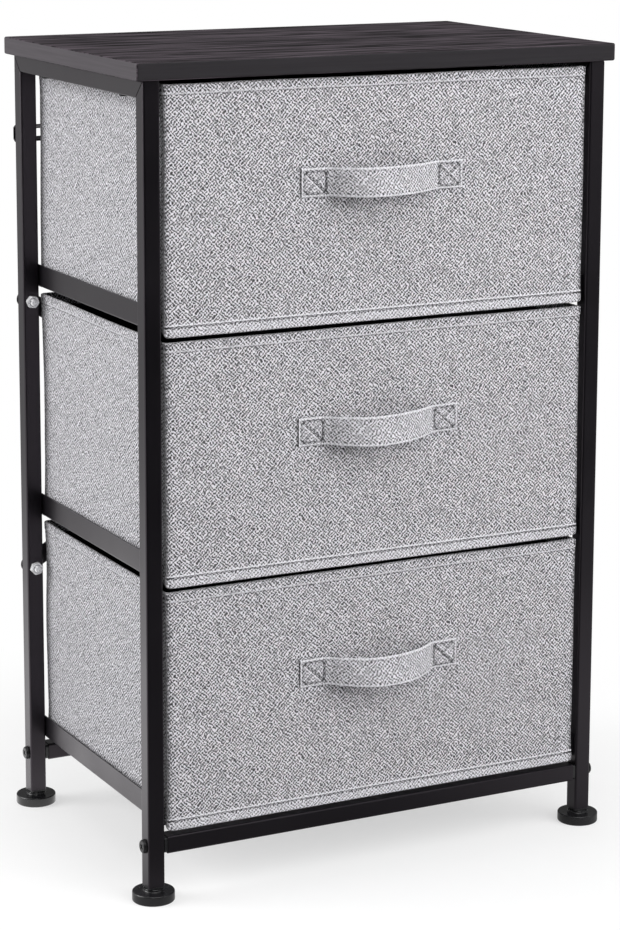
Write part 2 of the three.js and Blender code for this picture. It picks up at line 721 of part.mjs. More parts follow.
// A pull handle: a flat strap whose two ends are sewn to the front and whose middle bows out
// along a parabola, far enough for fingers to go behind it.
function handle(name, floorBottom, shift) {
  const faceY = drawerFrontY - seatGap;
  const halfSpan = handleSpan / 2;
  const centreX = shift * handleSpan;
  const curve = [[-halfSpan - handlePatchLength, faceY]];
  for (let step = 0; step <= bowSteps; step += 1) {
    const share = 2 * step / bowSteps - 1;
    curve.push([share * halfSpan, faceY - handleBow * (1 - share * share)]);
  }
  curve.push([halfSpan + handlePatchLength, faceY]);
  const outside = curve.map((point, index) => {
    const before = curve[Math.max(index - 1, 0)];
    const after = curve[Math.min(index + 1, curve.length - 1)];
    const arriving = new THREE.Vector2(point[0] - before[0], point[1] - before[1]).normalize();
    const leaving = new THREE.Vector2(after[0] - point[0], after[1] - point[1]).normalize();
    const along = arriving.clone().add(leaving).normalize();
    const stretch = 1 / Math.max(along.dot(leaving), along.dot(arriving));
    const distance = handleThickness * stretch;
    return [point[0] + along.y * distance, point[1] - along.x * distance];
  });
  const outline = polygon([...outside, ...curve.reverse()]);
  const centreHeight = floorBottom - drawerHemDrop + handleCentreHeight;
  const settings = {
    depth: handleWidth - 2 * handleEdgeRadius,
    bevelThickness: handleEdgeRadius,
    bevelSize: handleEdgeRadius,
    bevelOffset: -handleEdgeRadius,
    bevelSegments: 1,
  };
  const strap = new THREE.ExtrudeGeometry(outline, settings);
  strap.translate(centreX, 0, centreHeight - handleWidth / 2 + handleEdgeRadius);
  addPiece(`${name}_handle`, strap, 'fabric');
}

topBoard();
for (const sideName of Object.keys(sides)) {
  for (const endName of Object.keys(ends)) {
    leg(sideName, endName);
    barBolt(endName, sideName);
    boardScrew(endName, sideName);
    legPlug(endName, sideName);
    levellingFoot(endName, sideName);
  }
  topRail(sideName);
  for (let level = 0; level < drawerCount; level += 1) {
    ledgeRail(sideName, level);
  }
  braceFastening('lower', braceLowerHeight, sideName);
  braceFastening('upper', braceUpperHeight, sideName);
  wallBracket(sideName);
}
crossBar('front');
crossBar('rear');
braceStrip('brace_strip_rising', 1, false);
braceStrip('brace_strip_falling', -1, true);
braceRivet();
for (let level = 0; level < drawerCount; level += 1) {
  const floorBottom = lowestFloorBottom + level * railPitch;
  const name = `drawer_${levels[level]}`;
  drawerShell(name, floorBottom);
  handle(name, floorBottom, handleShiftShares[level]);
}

// The origin is on the floor, midway between the handles' fronts and the back feet's rims.
const foremost = drawerFrontY - seatGap - handleBow - handleThickness;
const rearmost = legCentreY + footDiameter / 2;
group.position.y = -(foremost + rearmost) / 2;

export default group;
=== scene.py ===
"""Fabric drawer dresser: the finish of its tube frame, board, drawers, handles and fasteners.

Everything is in metres, +Z up, with the drawers facing -Y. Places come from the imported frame.
"""
import math

import bmesh
import bpy
from bpy.props import FloatProperty, FloatVectorProperty, IntProperty, PointerProperty
from mathutils import Matrix, Vector, noise


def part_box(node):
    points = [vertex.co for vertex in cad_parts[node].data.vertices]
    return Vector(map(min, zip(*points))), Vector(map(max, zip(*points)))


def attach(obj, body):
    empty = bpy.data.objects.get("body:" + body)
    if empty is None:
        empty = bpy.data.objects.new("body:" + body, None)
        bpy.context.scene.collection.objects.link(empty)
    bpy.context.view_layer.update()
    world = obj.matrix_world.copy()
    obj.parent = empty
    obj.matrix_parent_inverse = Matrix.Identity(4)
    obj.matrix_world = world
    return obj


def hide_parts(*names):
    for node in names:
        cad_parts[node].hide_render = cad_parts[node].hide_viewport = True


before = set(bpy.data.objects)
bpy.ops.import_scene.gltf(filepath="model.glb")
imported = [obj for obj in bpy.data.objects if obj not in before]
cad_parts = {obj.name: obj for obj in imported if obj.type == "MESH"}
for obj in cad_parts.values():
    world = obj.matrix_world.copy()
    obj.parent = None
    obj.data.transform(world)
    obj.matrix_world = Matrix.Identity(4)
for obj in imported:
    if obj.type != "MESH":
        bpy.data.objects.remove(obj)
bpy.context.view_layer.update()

bl_info = {
    "name": "Fabric drawer dresser",
    "version": (1, 0, 0),
    "blender": (4, 5, 0),
    "location": "3D View > Sidebar > Dresser",
    "description": "Finishes the tube frame, board, fabric drawers and fasteners of a dresser",
    "category": "Add Mesh",
}

SIDES = ("left", "right")
ENDS = ("front", "rear")
LEVELS = ("lower", "middle", "upper")
QUARTER = math.pi / 2
# The axes, as places in a point.
X, Y, Z = range(3)
# Points nearer than this are one.
MERGE = 1e-6
# The frame leaves this much air between pieces that are seated or sewn together.
SEAT_GAP = 0.0003
# The rounding of small moulded and sheet pieces.
SOFT_EDGE = 0.0003
# The shank of the frame's and the brace's bolts.
M6 = 0.006

# Properties


def length(name, description, default):
    return FloatProperty(
        name=name, description=description, default=default, unit="LENGTH", precision=5)


def colour(name, description, default):
    return FloatVectorProperty(
        name=name, description=description, default=default, subtype="COLOR", size=3, min=0, max=1)


def share(name, description, default):
    return FloatProperty(
        name=name, description=description, default=default, subtype="FACTOR", min=0, max=1)


class DRESSER_PG_steel(bpy.types.PropertyGroup):
    """Sizes and finish of the painted steel."""

    corner_radius: length("Tube corner radius", "Outside radius of the square tube", 0.0018)
    corner_steps: IntProperty(
        name="Corner steps", description="Facets round each tube corner", default=7, min=1)
    mitre_gap: length("Mitre gap", "Width of the line where tubes meet at 45 degrees", 0.0004)
    paint: colour("Paint", "Colour of the powder coat", (0.0033, 0.0031, 0.0042))
    roughness: share("Roughness", "Roughness of the powder coat", 0.34)


class DRESSER_PG_board(bpy.types.PropertyGroup):
    """Sizes and finish of the top board."""

    edge_radius: length("Edge radius", "Rounding of the board's long edges", 0.0016)
    grain_dark: colour("Dark grain", "Colour of the pores and dark streaks", (0.006, 0.005, 0.006))
    grain_light: colour("Light grain", "Colour of the light streaks", (0.088, 0.071, 0.085))
    # The short edges' band is drawn lighter than the long edges' band. Part of that is painted
    # light, matching the left edge lit from the left.
    edge_band: colour(
        "Edge band", "Colour of the plain band on the short edges", (0.066, 0.057, 0.066))
    front_band: colour(
        "Front band", "Colour of the band on the long edges", (0.0255, 0.0225, 0.0265))


class DRESSER_PG_fabric(bpy.types.PropertyGroup):
    """Sizes and finish of the woven fabric and its sewing."""

    float_pitch: length("Float pitch", "Height from one line of floats to the next", 0.0034)
    float_length: length("Float length", "Length of the visible floats of yarn", 0.0035)
    wander: length("Wander", "How far the lines of floats wander", 0.0034)
    light_yarn: colour("Light yarn", "Colour of the light yarn", (0.76, 0.75, 0.79))
    dark_yarn: colour("Dark yarn", "Colour of the dark yarn", (0.045, 0.044, 0.048))
    stitch_pitch: length("Stitch pitch", "Distance from one stitch to the next", 0.0044)
    stitch_length: length("Stitch length", "Visible length of one stitch", 0.0035)
    thread_radius: length("Thread radius", "Radius of the sewing thread", 0.00036)
    top_hem: length("Top hem", "Depth of the hem along the top edges", 0.008)
    bottom_hem: length("Bottom hem", "Depth of the hem along the fronts' lower edges", 0.0085)


class DRESSER_PG_handle(bpy.types.PropertyGroup):
    """Sizes of the pull handles that the frame doesn't give."""

    patch: length("Patch length", "Length of the flat sewn end of the strap", 0.025)
    inset: length("Stitch inset", "Distance from a patch's edge to its stitched box", 0.0028)
    fold: length("Folded edge", "Width of the thicker folded edge of the strap", 0.0022)


class DRESSER_PG_stage(bpy.types.PropertyGroup):
    """The camera and the light."""

    lens: FloatProperty(
        name="Lens", description="Focal length on a 36 mm sensor", default=108.32, unit="CAMERA")
    shift: FloatProperty(name="Shift", description="Upright shift of the lens", default=-0.15)
    place: FloatVectorProperty(
        name="Place", description="Where the camera stands", subtype="TRANSLATION",
        default=(-1.11187, -2.15917, 0.897915))
    yaw: FloatProperty(
        name="Yaw", description="Turn to the right of +Y", default=0.47535, subtype="ANGLE")
    pitch: FloatProperty(
        name="Pitch", description="Tilt below the horizon", default=0.18158, subtype="ANGLE")
    roll: FloatProperty(
        name="Roll", description="Turn about the view line", default=0.003009, subtype="ANGLE")
    sky: FloatProperty(name="Sky", description="Strength of the studio's even light", default=0.62)


# Wiring


class Wiring:
    """Adds nodes to a tree and joins them."""

    def __init__(self, tree):
        self.tree = tree

    def put(self, socket, value):
        """Joins a socket to another one, or sets its value."""
        if isinstance(value, bpy.types.NodeSocket):
            self.tree.links.new(value, socket)
        else:
            socket.default_value = value

    def add(self, kind, inputs=None, **settings):
        node = self.tree.nodes.new(kind)
        for name, value in settings.items():
            setattr(node, name, value)
        for key, value in (inputs or {}).items():
            self.put(node.inputs[key], value)
        return node

    def math(self, operation, *values):
        inputs = dict(enumerate(values))
        return self.add("ShaderNodeMath", inputs, operation=operation).outputs[0]

    def plus(self, first, second):
        return self.math("ADD", first, second)

    def minus(self, first, second):
        return self.math("SUBTRACT", first, second)

    def times(self, first, second):
        return self.math("MULTIPLY", first, second)

    def over(self, first, second):
        return self.math("DIVIDE", first, second)

    def vector(self, operation, *values, scale=None):
        inputs = dict(enumerate(values))
        if scale is not None:
            inputs["Scale"] = scale
        return self.add("ShaderNodeVectorMath", inputs, operation=operation).outputs[0]

    def split(self, vector):
        return self.add("ShaderNodeSeparateXYZ", {0: vector}).outputs

    def join(self, x, y, z=0.0):
        return self.add("ShaderNodeCombineXYZ", {0: x, 1: y, 2: z}).outputs[0]

    def noise(self, vector, scale, detail=2.0, roughness=0.5, output="Fac"):
        inputs = {"Vector": vector, "Scale": scale, "Detail": detail, "Roughness": roughness}
        return self.add("ShaderNodeTexNoise", inputs).outputs[output]

    def stretched(self, vector, scales, detail=2.0, roughness=0.5, output="Fac"):
        """Noise with its own scale along each axis."""
        return self.noise(self.vector("MULTIPLY", vector, scales), 1.0, detail, roughness, output)

    def drift(self, noise):
        """A coloured noise as a vector about zero."""
        return self.vector("SUBTRACT", noise, (0.5, 0.5, 0.5))

    def random(self, vector):
        noise = self.add("ShaderNodeTexWhiteNoise", {"Vector": vector}, noise_dimensions="3D")
        return noise.outputs["Value"]

    def span(self, value, low, high, to_low=0.0, to_high=1.0):
        """Spreads a range of a value over another, and holds it there beyond its ends."""
        inputs = {0: value, 1: low, 2: high, 3: to_low, 4: to_high}
        return self.add("ShaderNodeMapRange", inputs, clamp=True).outputs[0]

    def spread(self, noise, to_low=0.0, to_high=1.0):
        """Spreads the middle of a noise, where most of it lies, over a range."""
        return self.span(noise, 0.3, 0.7, to_low, to_high)

    def mix(self, factor, first, second):
        node = self.add("ShaderNodeMix", data_type="RGBA")
        self.put(node.inputs[0], factor)
        for socket, value in ((node.inputs[6], first), (node.inputs[7], second)):
            if not isinstance(value, bpy.types.NodeSocket):
                value = (*value[:3], 1.0)
            self.put(socket, value)
        return node.outputs[2]

    def bump(self, height, distance, strength):
        inputs = {"Height": height, "Distance": distance, "Strength": strength}
        return self.add("ShaderNodeBump", inputs).outputs[0]


class Pattern(Wiring):
    """A material with one Principled shader, and the wiring that its pattern is made with."""

    def __init__(self, name, shader_values):
        self.material = bpy.data.materials.new(name)
        self.material.use_nodes = True
        super().__init__(self.material.node_tree)
        self.shader = self.tree.nodes["Principled BSDF"]
        for key, value in shader_values.items():
            self.shader.inputs[key].default_value = value

    def place(self):
        return self.add("ShaderNodeTexCoord").outputs["Object"]

    def finished(self, colour, roughness, relief, distance, strength):
        """Joins the colour, roughness and relief to the shader, and returns the material."""
        normal = self.bump(relief, distance, strength)
        for key, value in (("Base Color", colour), ("Roughness", roughness), ("Normal", normal)):
            self.put(self.shader.inputs[key], value)
        return self.material


def shaded(colour, amount):
    """A colour made darker."""
    return [value * amount for value in colour]


# Materials


def painted_steel(name, steel):
    """Satin powder coat: a fine orange peel and patches of slightly different gloss."""
    w = Pattern(name, {
        "Metallic": 0.0, "Specular IOR Level": 0.6, "Specular Tint": (1.0, 0.88, 0.99, 1.0)})
    place = w.place()
    patches = w.noise(place, 14.0, 3.0)
    peel = w.noise(place, 900.0)
    colour = w.mix(w.spread(patches), shaded(steel.paint, 0.75), steel.paint)
    gloss = w.spread(patches, steel.roughness - 0.05, steel.roughness + 0.05)
    return w.finished(colour, gloss, peel, 0.00004, 0.5)


def woven_fabric(name, fabric, contrast=1.0, lift=0.0):
    """Crossed diagonal floats of light and dark yarn, drawn in the piece's own flat coordinates. A
    lift gives a lighter copy of the cloth, which is painted light.
    """
    w = Pattern(name, {"Specular IOR Level": 0.25, "Sheen Weight": 0.12, "Sheen Roughness": 0.5})
    flat = w.add("ShaderNodeUVMap", uv_map="weave").outputs[0]
    # The lines wander a little, so that the floats make a grain and no net.
    place = flat
    for scale, reach in ((45.0, 0.003), (300.0, fabric.wander)):
        drift = w.drift(w.noise(flat, scale, 1.0, output="Color"))
        place = w.vector("ADD", place, w.vector("SCALE", drift, scale=reach))
    u, v, _ = w.split(place)
    grain, height = 0.0, 0.0
    for sign in (1.0, -1.0):
        slanted = w.times(u, sign)
        rise = w.over(w.plus(v, slanted), fabric.float_pitch)
        along = w.over(w.minus(v, slanted), fabric.float_length)
        row = w.math("FLOOR", rise)
        stagger = w.random(w.join(row, 3.0 + sign))
        cell = w.math("FLOOR", w.plus(along, stagger))
        yarn = w.random(w.join(row, cell, 5.0 + sign))
        wave = w.math("COSINE", w.times(rise, 2 * math.pi))
        wave = w.times(wave, w.span(yarn, 0.0, 1.0, -0.1, -1.0))
        shade = w.times(w.minus(yarn, 0.5), 0.2 * contrast)
        grain = w.plus(grain, w.plus(w.times(wave, 0.98 * contrast), shade))
        height = w.plus(height, w.times(wave, 0.5))
    cloud = w.times(w.minus(w.noise(flat, 26.0, 3.0), 0.5), 0.08)
    # The attribute read here is painted light and shade. It is added to the colour as a painted
    # highlight on the ridges of seams and folds and as painted shade in their creases and by edges.
    # The weave is calmer where it is strong.
    seam = w.add("ShaderNodeAttribute", attribute_name="seam").outputs["Fac"]
    calm = w.span(w.math("ABSOLUTE", seam), 0.0, 0.4, 1.0, 0.4)
    level = w.plus(w.times(grain, calm), w.plus(cloud, 0.5 + lift))
    level = w.plus(level, seam)
    level = w.math("MINIMUM", w.math("MAXIMUM", level, 0.0), 1.0)
    colour = w.mix(level, fabric.dark_yarn, fabric.light_yarn)
    return w.finished(colour, w.span(height, -0.5, 0.5, 0.95, 0.82), height, 0.00012, 0.6)


def lining(name):
    """Dark non-woven lining: pressed dimples in a fibrous sheet."""
    w = Pattern(name, {"Specular IOR Level": 0.2})
    place = w.place()
    cells = w.add("ShaderNodeTexVoronoi", {"Vector": place, "Scale": 620.0}, feature="F1")
    dimple = w.span(cells.outputs["Distance"], 0.15, 0.55)
    fibres = w.noise(place, 1400.0, 3.0)
    tone = w.times(w.plus(dimple, fibres), 0.5)
    colour = w.mix(tone, (0.012, 0.012, 0.013), (0.034, 0.033, 0.036))
    return w.finished(colour, w.spread(fibres, 0.8, 0.95), tone, 0.0001, 0.7)


def oak_laminate(name, board):
    """Dark oak: long streaks, closed pores and a few near-black lines along X."""
    w = Pattern(name, {"Specular IOR Level": 0.08})
    place = w.place()
    bend = w.drift(w.stretched(place, (2.5, 9.0, 9.0), output="Color"))
    place = w.vector("ADD", place, w.vector("MULTIPLY", bend, (0.0, 0.012, 0.0)))
    streaks = w.stretched(place, (4.0, 140.0, 170.0), 5.0, 0.65)
    fine = w.stretched(place, (15.0, 170.0, 300.0))
    pores = w.stretched(place, (14.0, 800.0, 800.0), 2.0, 0.6)
    rare = w.stretched(place, (2.5, 110.0, 90.0), 5.0, 0.6)
    wide = w.stretched(place, (1.6, 22.0, 22.0))
    tone = w.plus(w.times(streaks, 0.8), fine)
    tone = w.plus(tone, w.times(wide, 0.1))
    tone = w.plus(tone, w.times(w.minus(pores, 0.5), 0.6))
    tone = w.span(tone, 0.82, 1.1)
    dark_line = w.span(rare, 0.36, 0.43)
    tone = w.times(tone, w.plus(0.4, w.times(dark_line, 0.6)))
    colour = w.mix(tone, board.grain_dark, board.grain_light)
    height = w.plus(fine, w.times(dark_line, 0.8))
    return w.finished(colour, w.spread(fine, 0.62, 0.5), height, 0.00008, 0.5)


def edge_band(name, band, stretch):
    """The plain band on an edge, with faint lines along it."""
    w = Pattern(name, {"Specular IOR Level": 0.35})
    lines = w.stretched(w.place(), stretch, 3.0)
    colour = w.mix(w.spread(lines), shaded(band, 0.8), band)
    return w.finished(colour, w.spread(lines, 0.5, 0.42), lines, 0.00005, 0.4)


def fibreboard(name):
    """Brown pressed board with short fibres."""
    w = Pattern(name, {"Specular IOR Level": 0.3})
    fibres = w.noise(w.place(), 700.0, 4.0, 0.7)
    colour = w.mix(fibres, (0.13, 0.08, 0.045), (0.34, 0.24, 0.15))
    return w.finished(colour, w.spread(fibres, 0.75, 0.92), fibres, 0.0001, 0.4)


def zinc(name):
    """Bright zinc plating, brushed along the turning direction and slightly mottled."""
    w = Pattern(name, {"Metallic": 0.4})
    place = w.place()
    mottle = w.noise(place, 420.0, 3.0)
    rings = w.stretched(place, (300.0, 6000.0, 300.0))
    colour = w.mix(mottle, (0.84, 0.84, 0.86), (0.97, 0.97, 0.98))
    return w.finished(colour, w.spread(rings, 0.22, 0.4), rings, 0.00002, 0.4)


def black_plating(name):
    """Blackened screw steel: dark, satin, with fine turning marks."""
    w = Pattern(name, {"Metallic": 0.6})
    marks = w.stretched(w.place(), (5000.0, 400.0, 400.0))
    colour = w.mix(marks, (0.009, 0.009, 0.01), (0.03, 0.029, 0.031))
    return w.finished(colour, w.spread(marks, 0.24, 0.36), marks, 0.00002, 0.3)


def moulded_plastic(name):
    """Black moulded plastic with a very fine sparked texture."""
    w = Pattern(name, {"Specular IOR Level": 0.55})
    place = w.place()
    spark = w.noise(place, 1300.0, 3.0)
    cloud = w.noise(place, 60.0)
    colour = w.mix(cloud, (0.008, 0.008, 0.009), (0.014, 0.0135, 0.015))
    return w.finished(colour, w.spread(cloud, 0.2, 0.28), spark, 0.00004, 0.35)


def sewing_thread(name, fabric):
    """Grey polyester thread with a fine twist."""
    w = Pattern(name, {"Specular IOR Level": 0.3})
    twist = w.noise(w.place(), 3000.0, 1.0)
    colour = w.mix(twist, shaded(fabric.light_yarn, 0.45), fabric.light_yarn)
    return w.finished(colour, w.spread(twist, 0.6, 0.8), twist, 0.00005, 0.4)


FINISHES = {}


def finish(name):
    """The scene's material of that name, made once."""
    if name not in FINISHES:
        scene = bpy.context.scene
        board, fabric = scene.dresser_board, scene.dresser_fabric
        makers = {
            "satin_black_paint": (painted_steel, scene.dresser_steel),
            "woven_front": (woven_fabric, fabric, 0.94),
            # The sides and the strap are lighter copies of the front's cloth, and that lift is
            # painted light.
            "woven_side": (woven_fabric, fabric, 1.15, 0.035),
            "woven_strap": (woven_fabric, fabric, 0.66, 0.07),
            "dark_lining": (lining,),
            "dark_oak": (oak_laminate, board),
            "oak_edge_band": (edge_band, board.edge_band, (400.0, 12.0, 400.0)),
            "oak_front_band": (edge_band, board.front_band, (12.0, 400.0, 400.0)),
            "brown_fibreboard": (fibreboard,),
            "bright_zinc": (zinc,),
            "black_screw_steel": (black_plating,),
            "black_plastic": (moulded_plastic,),
            "grey_thread": (sewing_thread, fabric),
        }
        maker, *values = makers[name]
        FINISHES[name] = maker(name, *values)
    return FINISHES[name]


# Pieces


def linked(name, data):
    """A new object in the scene."""
    thing = bpy.data.objects.new(name, data)
    bpy.context.scene.collection.objects.link(thing)
    return thing


def add_piece(name, mesh, body, nodes, finishes=()):
    """Puts a finished mesh in the scene as a piece that stands for some nodes of the frame."""
    mesh.name = name
    if finishes:
        # Clearing puts every face back to the first material, so it is only for the trees' meshes.
        if mesh.materials:
            mesh.materials.clear()
        for entry in finishes:
            mesh.materials.append(finish(entry))
    piece = linked(name, mesh)
    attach(piece, body)
    if nodes:
        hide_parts(*nodes)
    return piece


def plain_mesh(name, shape):
    """Turns a bmesh into a mesh as it is."""
    mesh = bpy.data.meshes.new(name)
    shape.to_mesh(mesh)
    shape.free()
    return mesh


def mesh_of(name, shape, smooth=False):
    """Turns a bmesh into a mesh with its faces outwards."""
    bmesh.ops.recalc_face_normals(shape, faces=shape.faces)
    for face in shape.faces:
        face.smooth = smooth
    return plain_mesh(name, shape)


def baked(holder):
    """The plain mesh that an object's modifiers give. The object itself goes."""
    graph = bpy.context.evaluated_depsgraph_get()
    result = bpy.data.meshes.new_from_object(holder.evaluated_get(graph), depsgraph=graph)
    holder.modifiers.clear()
    bpy.data.objects.remove(holder)
    return result


def applied(mesh, *modifiers):
    """A mesh with modifiers applied, each given as its kind and its settings."""
    holder = linked("holder", mesh)
    for kind, settings in modifiers:
        modifier = holder.modifiers.new(kind.lower(), kind)
        for key, value in settings.items():
            setattr(modifier, key, value)
    return baked(holder)


def softened(mesh, width, angle):
    """A mesh with the edges that turn more than an angle rounded off."""
    return applied(mesh, ("BEVEL", {
        "width": width, "segments": 2, "limit_method": "ANGLE", "angle_limit": angle}))


def made_by_tree(tree, mesh, values):
    """Runs a node tree on a mesh, with its inputs set by name, and returns a plain mesh."""
    holder = linked("holder", mesh)
    modifier = holder.modifiers.new("tree", "NODES")
    modifier.node_group = tree
    for socket in tree.interface.items_tree:
        if socket.item_type == "SOCKET" and socket.in_out == "INPUT" and socket.name in values:
            modifier[socket.identifier] = values[socket.name]
    return baked(holder)


def loft(shape, rings):
    """Joins rings of as many points each into a skin, and caps both its ends."""
    count = len(rings[0])
    for first, second in zip(rings, rings[1:]):
        for index in range(count):
            after = (index + 1) % count
            shape.faces.new((first[index], first[after], second[after], second[index]))
    shape.faces.new(rings[0])
    shape.faces.new(rings[-1])


def middle_of(node):
    low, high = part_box(node)
    return (low + high) / 2


def new_tree(name, sockets):
    """A Geometry Nodes tree with named inputs, its wiring, and its input node's sockets."""
    tree = bpy.data.node_groups.new(name, "GeometryNodeTree")
    tree.interface.new_socket("Geometry", in_out="INPUT", socket_type="NodeSocketGeometry")
    for label, kind in sockets:
        tree.interface.new_socket(label, in_out="INPUT", socket_type=f"NodeSocket{kind}")
    tree.interface.new_socket("Geometry", in_out="OUTPUT", socket_type="NodeSocketGeometry")
    wiring = Wiring(tree)
    return tree, wiring, wiring.add("NodeGroupInput").outputs


def end_tree(wiring, geometry, material):
    """Ends a tree in Realize Instances and Set Material."""
    real = wiring.add("GeometryNodeRealizeInstances", {"Geometry": geometry}).outputs[0]
    done = wiring.add("GeometryNodeSetMaterial", {"Geometry": real, "Material": material})
    wiring.add("NodeGroupOutput", {0: done.outputs[0]})


def tube_tree():
    """A square tube along Z with rounded corners, whose ends can be mitred across Y."""
    tree, w, given = new_tree("Square tube", (
        ("Length", "Float"), ("Size", "Float"), ("Corner Radius", "Float"),
        ("Corner Steps", "Int"), ("Start Mitre", "Float"), ("End Mitre", "Float"),
        ("Mitre Gap", "Float"), ("Material", "Material")))
    square = w.add(
        "GeometryNodeCurvePrimitiveQuadrilateral",
        {"Width": given["Size"], "Height": given["Size"]}, mode="RECTANGLE")
    section = w.add("GeometryNodeFilletCurve", {
        "Curve": square.outputs[0], "Radius": given["Corner Radius"],
        "Count": given["Corner Steps"]}, mode="POLY")
    line = w.add("GeometryNodeCurvePrimitiveLine", {"End": w.join(0.0, 0.0, given["Length"])})
    swept = w.add("GeometryNodeCurveToMesh", {
        "Curve": line.outputs[0], "Profile Curve": section.outputs[0], "Fill Caps": True})
    across = w.split(w.add("GeometryNodeInputPosition").outputs[0])
    at_end = w.math("GREATER_THAN", across[2], w.times(given["Length"], 0.5))
    reach = w.plus(w.times(given["Size"], 0.5), given["Mitre Gap"])

    def cut(mitre, sign):
        inward = w.times(w.times(w.math("ABSOLUTE", mitre), reach), sign)
        return w.plus(w.times(mitre, across[1]), inward)

    start = w.times(cut(given["Start Mitre"], 1.0), w.minus(1.0, at_end))
    end = w.times(cut(given["End Mitre"], -1.0), at_end)
    moved = w.add("GeometryNodeSetPosition", {
        "Geometry": swept.outputs[0], "Offset": w.join(0.0, 0.0, w.plus(start, end))})
    flat = w.add(
        "GeometryNodeSetShadeSmooth", {"Geometry": moved.outputs[0], "Shade Smooth": False})
    end_tree(w, flat.outputs[0], given["Material"])
    return tree


def stitch_tree():
    """Lays short rounded stitches along every line of a mesh of edges."""
    tree, w, given = new_tree("Stitches", (
        ("Pitch", "Float"), ("Stitch Length", "Float"), ("Thread Radius", "Float"),
        ("Wander", "Float"), ("Seed", "Int"), ("Material", "Material")))
    lines = w.add("GeometryNodeMeshToCurve", {"Mesh": given["Geometry"]})
    spaced = w.add("GeometryNodeResampleCurve", {
        "Curve": lines.outputs[0], "Length": given["Pitch"]}, mode="LENGTH")
    bead = w.add("GeometryNodeMeshUVSphere", {"Segments": 6, "Rings": 4, "Radius": 1.0})
    turn = w.add("FunctionNodeAlignRotationToVector", {
        "Vector": w.add("GeometryNodeInputTangent").outputs[0]}, axis="Z")
    back = w.times(given["Wander"], -1.0)
    wander = w.add("FunctionNodeRandomValue", data_type="FLOAT_VECTOR")
    w.put(wander.inputs[0], w.join(back, back))
    w.put(wander.inputs[1], w.join(given["Wander"], given["Wander"]))
    w.put(wander.inputs["Seed"], given["Seed"])
    skewed = w.add("FunctionNodeEulerToRotation", {0: wander.outputs[0]}).outputs[0]
    turned = w.add("FunctionNodeRotateRotation", {0: turn.outputs[0], 1: skewed})
    radius = given["Thread Radius"]
    size = w.join(radius, radius, w.times(given["Stitch Length"], 0.5))
    laid = w.add("GeometryNodeInstanceOnPoints", {
        "Points": spaced.outputs[0], "Instance": bead.outputs[0],
        "Rotation": turned.outputs[0], "Scale": size})
    soft = w.add("GeometryNodeSetShadeSmooth", {"Geometry": laid.outputs[0]})
    end_tree(w, soft.outputs[0], given["Material"])
    return tree


def fastener_tree():
    """Sets copies of one fastener at the points of a mesh, turned by their own attribute."""
    tree, w, given = new_tree("Fasteners", (
        ("Fastener", "Object"), ("Scale", "Float"), ("Material", "Material")))
    points = w.add("GeometryNodeMeshToPoints", {"Mesh": given["Geometry"]})
    turn = w.add("GeometryNodeInputNamedAttribute", {"Name": "turn"}, data_type="FLOAT_VECTOR")
    rotation = w.add("FunctionNodeEulerToRotation", {0: turn.outputs[0]})
    shape = w.add("GeometryNodeObjectInfo", {"Object": given["Fastener"]})
    scale = given["Scale"]
    placed = w.add("GeometryNodeInstanceOnPoints", {
        "Points": points.outputs[0], "Instance": shape.outputs["Geometry"],
        "Rotation": rotation.outputs[0], "Scale": w.join(scale, scale, scale)})
    end_tree(w, placed.outputs[0], given["Material"])
    return tree


# Frame


def square_tube(node, axis, start_mitre, end_mitre, tree, steel):
    """A tube in the box of its node, along one of the axes."""
    low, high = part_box(node)
    size = high.y - low.y if axis == X else high.x - low.x
    mesh = made_by_tree(tree, bpy.data.meshes.new(node), {
        "Length": high[axis] - low[axis], "Size": size, "Corner Radius": steel.corner_radius,
        "Corner Steps": steel.corner_steps, "Start Mitre": start_mitre, "End Mitre": end_mitre,
        "Mitre Gap": steel.mitre_gap, "Material": finish("satin_black_paint")})
    # Where the tree's own X, Y and Z point.
    columns = {
        X: ((0, 1, 0), (0, 0, 1), (1, 0, 0)),
        Y: ((-1, 0, 0), (0, 0, 1), (0, 1, 0)),
        Z: ((1, 0, 0), (0, 1, 0), (0, 0, 1)),
    }[axis]
    turn = Matrix(columns).transposed().to_4x4()
    start = middle_of(node)
    start[axis] = low[axis]
    mesh.transform(Matrix.Translation(start) @ turn)
    return add_piece(f"{node}_tube", mesh, "frame", [node])


def ledge_rail(node, side, sizes):
    """An angle folded from sheet: a tall web, a rounded fold and a ledge shorter than the web."""
    low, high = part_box(node)
    outer = low.x if side == "left" else high.x
    inward = 1 if side == "left" else -1
    sheet, bend, steps = sizes["sheet"], sizes["bend"], sizes["steps"]
    width = high.x - low.x
    height = high.z - low.z

    def arc(radius):
        angles = [QUARTER * step / steps for step in range(steps + 1)]
        return [(bend - radius * math.cos(a), bend - radius * math.sin(a)) for a in angles]

    full = [(0, height), *arc(bend), (width, 0), (width, sheet), *reversed(arc(bend - sheet))]
    full.append((sheet, height))
    # Beyond the ledge's ends only the web goes on, so every point there keeps to the sheet.
    web = [(min(x, sheet), z) for x, z in full]
    stations = [
        (low.y, web), (sizes["ledge_front"], web), (sizes["ledge_front"], full),
        (sizes["ledge_rear"], full), (sizes["ledge_rear"], web), (high.y, web)]
    shape = bmesh.new()
    loft(shape, [
        [shape.verts.new((outer + inward * x, y, low.z + z)) for x, z in points]
        for y, points in stations])
    bmesh.ops.remove_doubles(shape, verts=shape.verts, dist=MERGE)
    bmesh.ops.dissolve_degenerate(shape, edges=shape.edges, dist=1e-7)
    mesh = softened(mesh_of(node, shape), sizes["edge"], 0.9)
    return add_piece(
        f"{node}_angle", mesh, "frame", [node], ["satin_black_paint"])


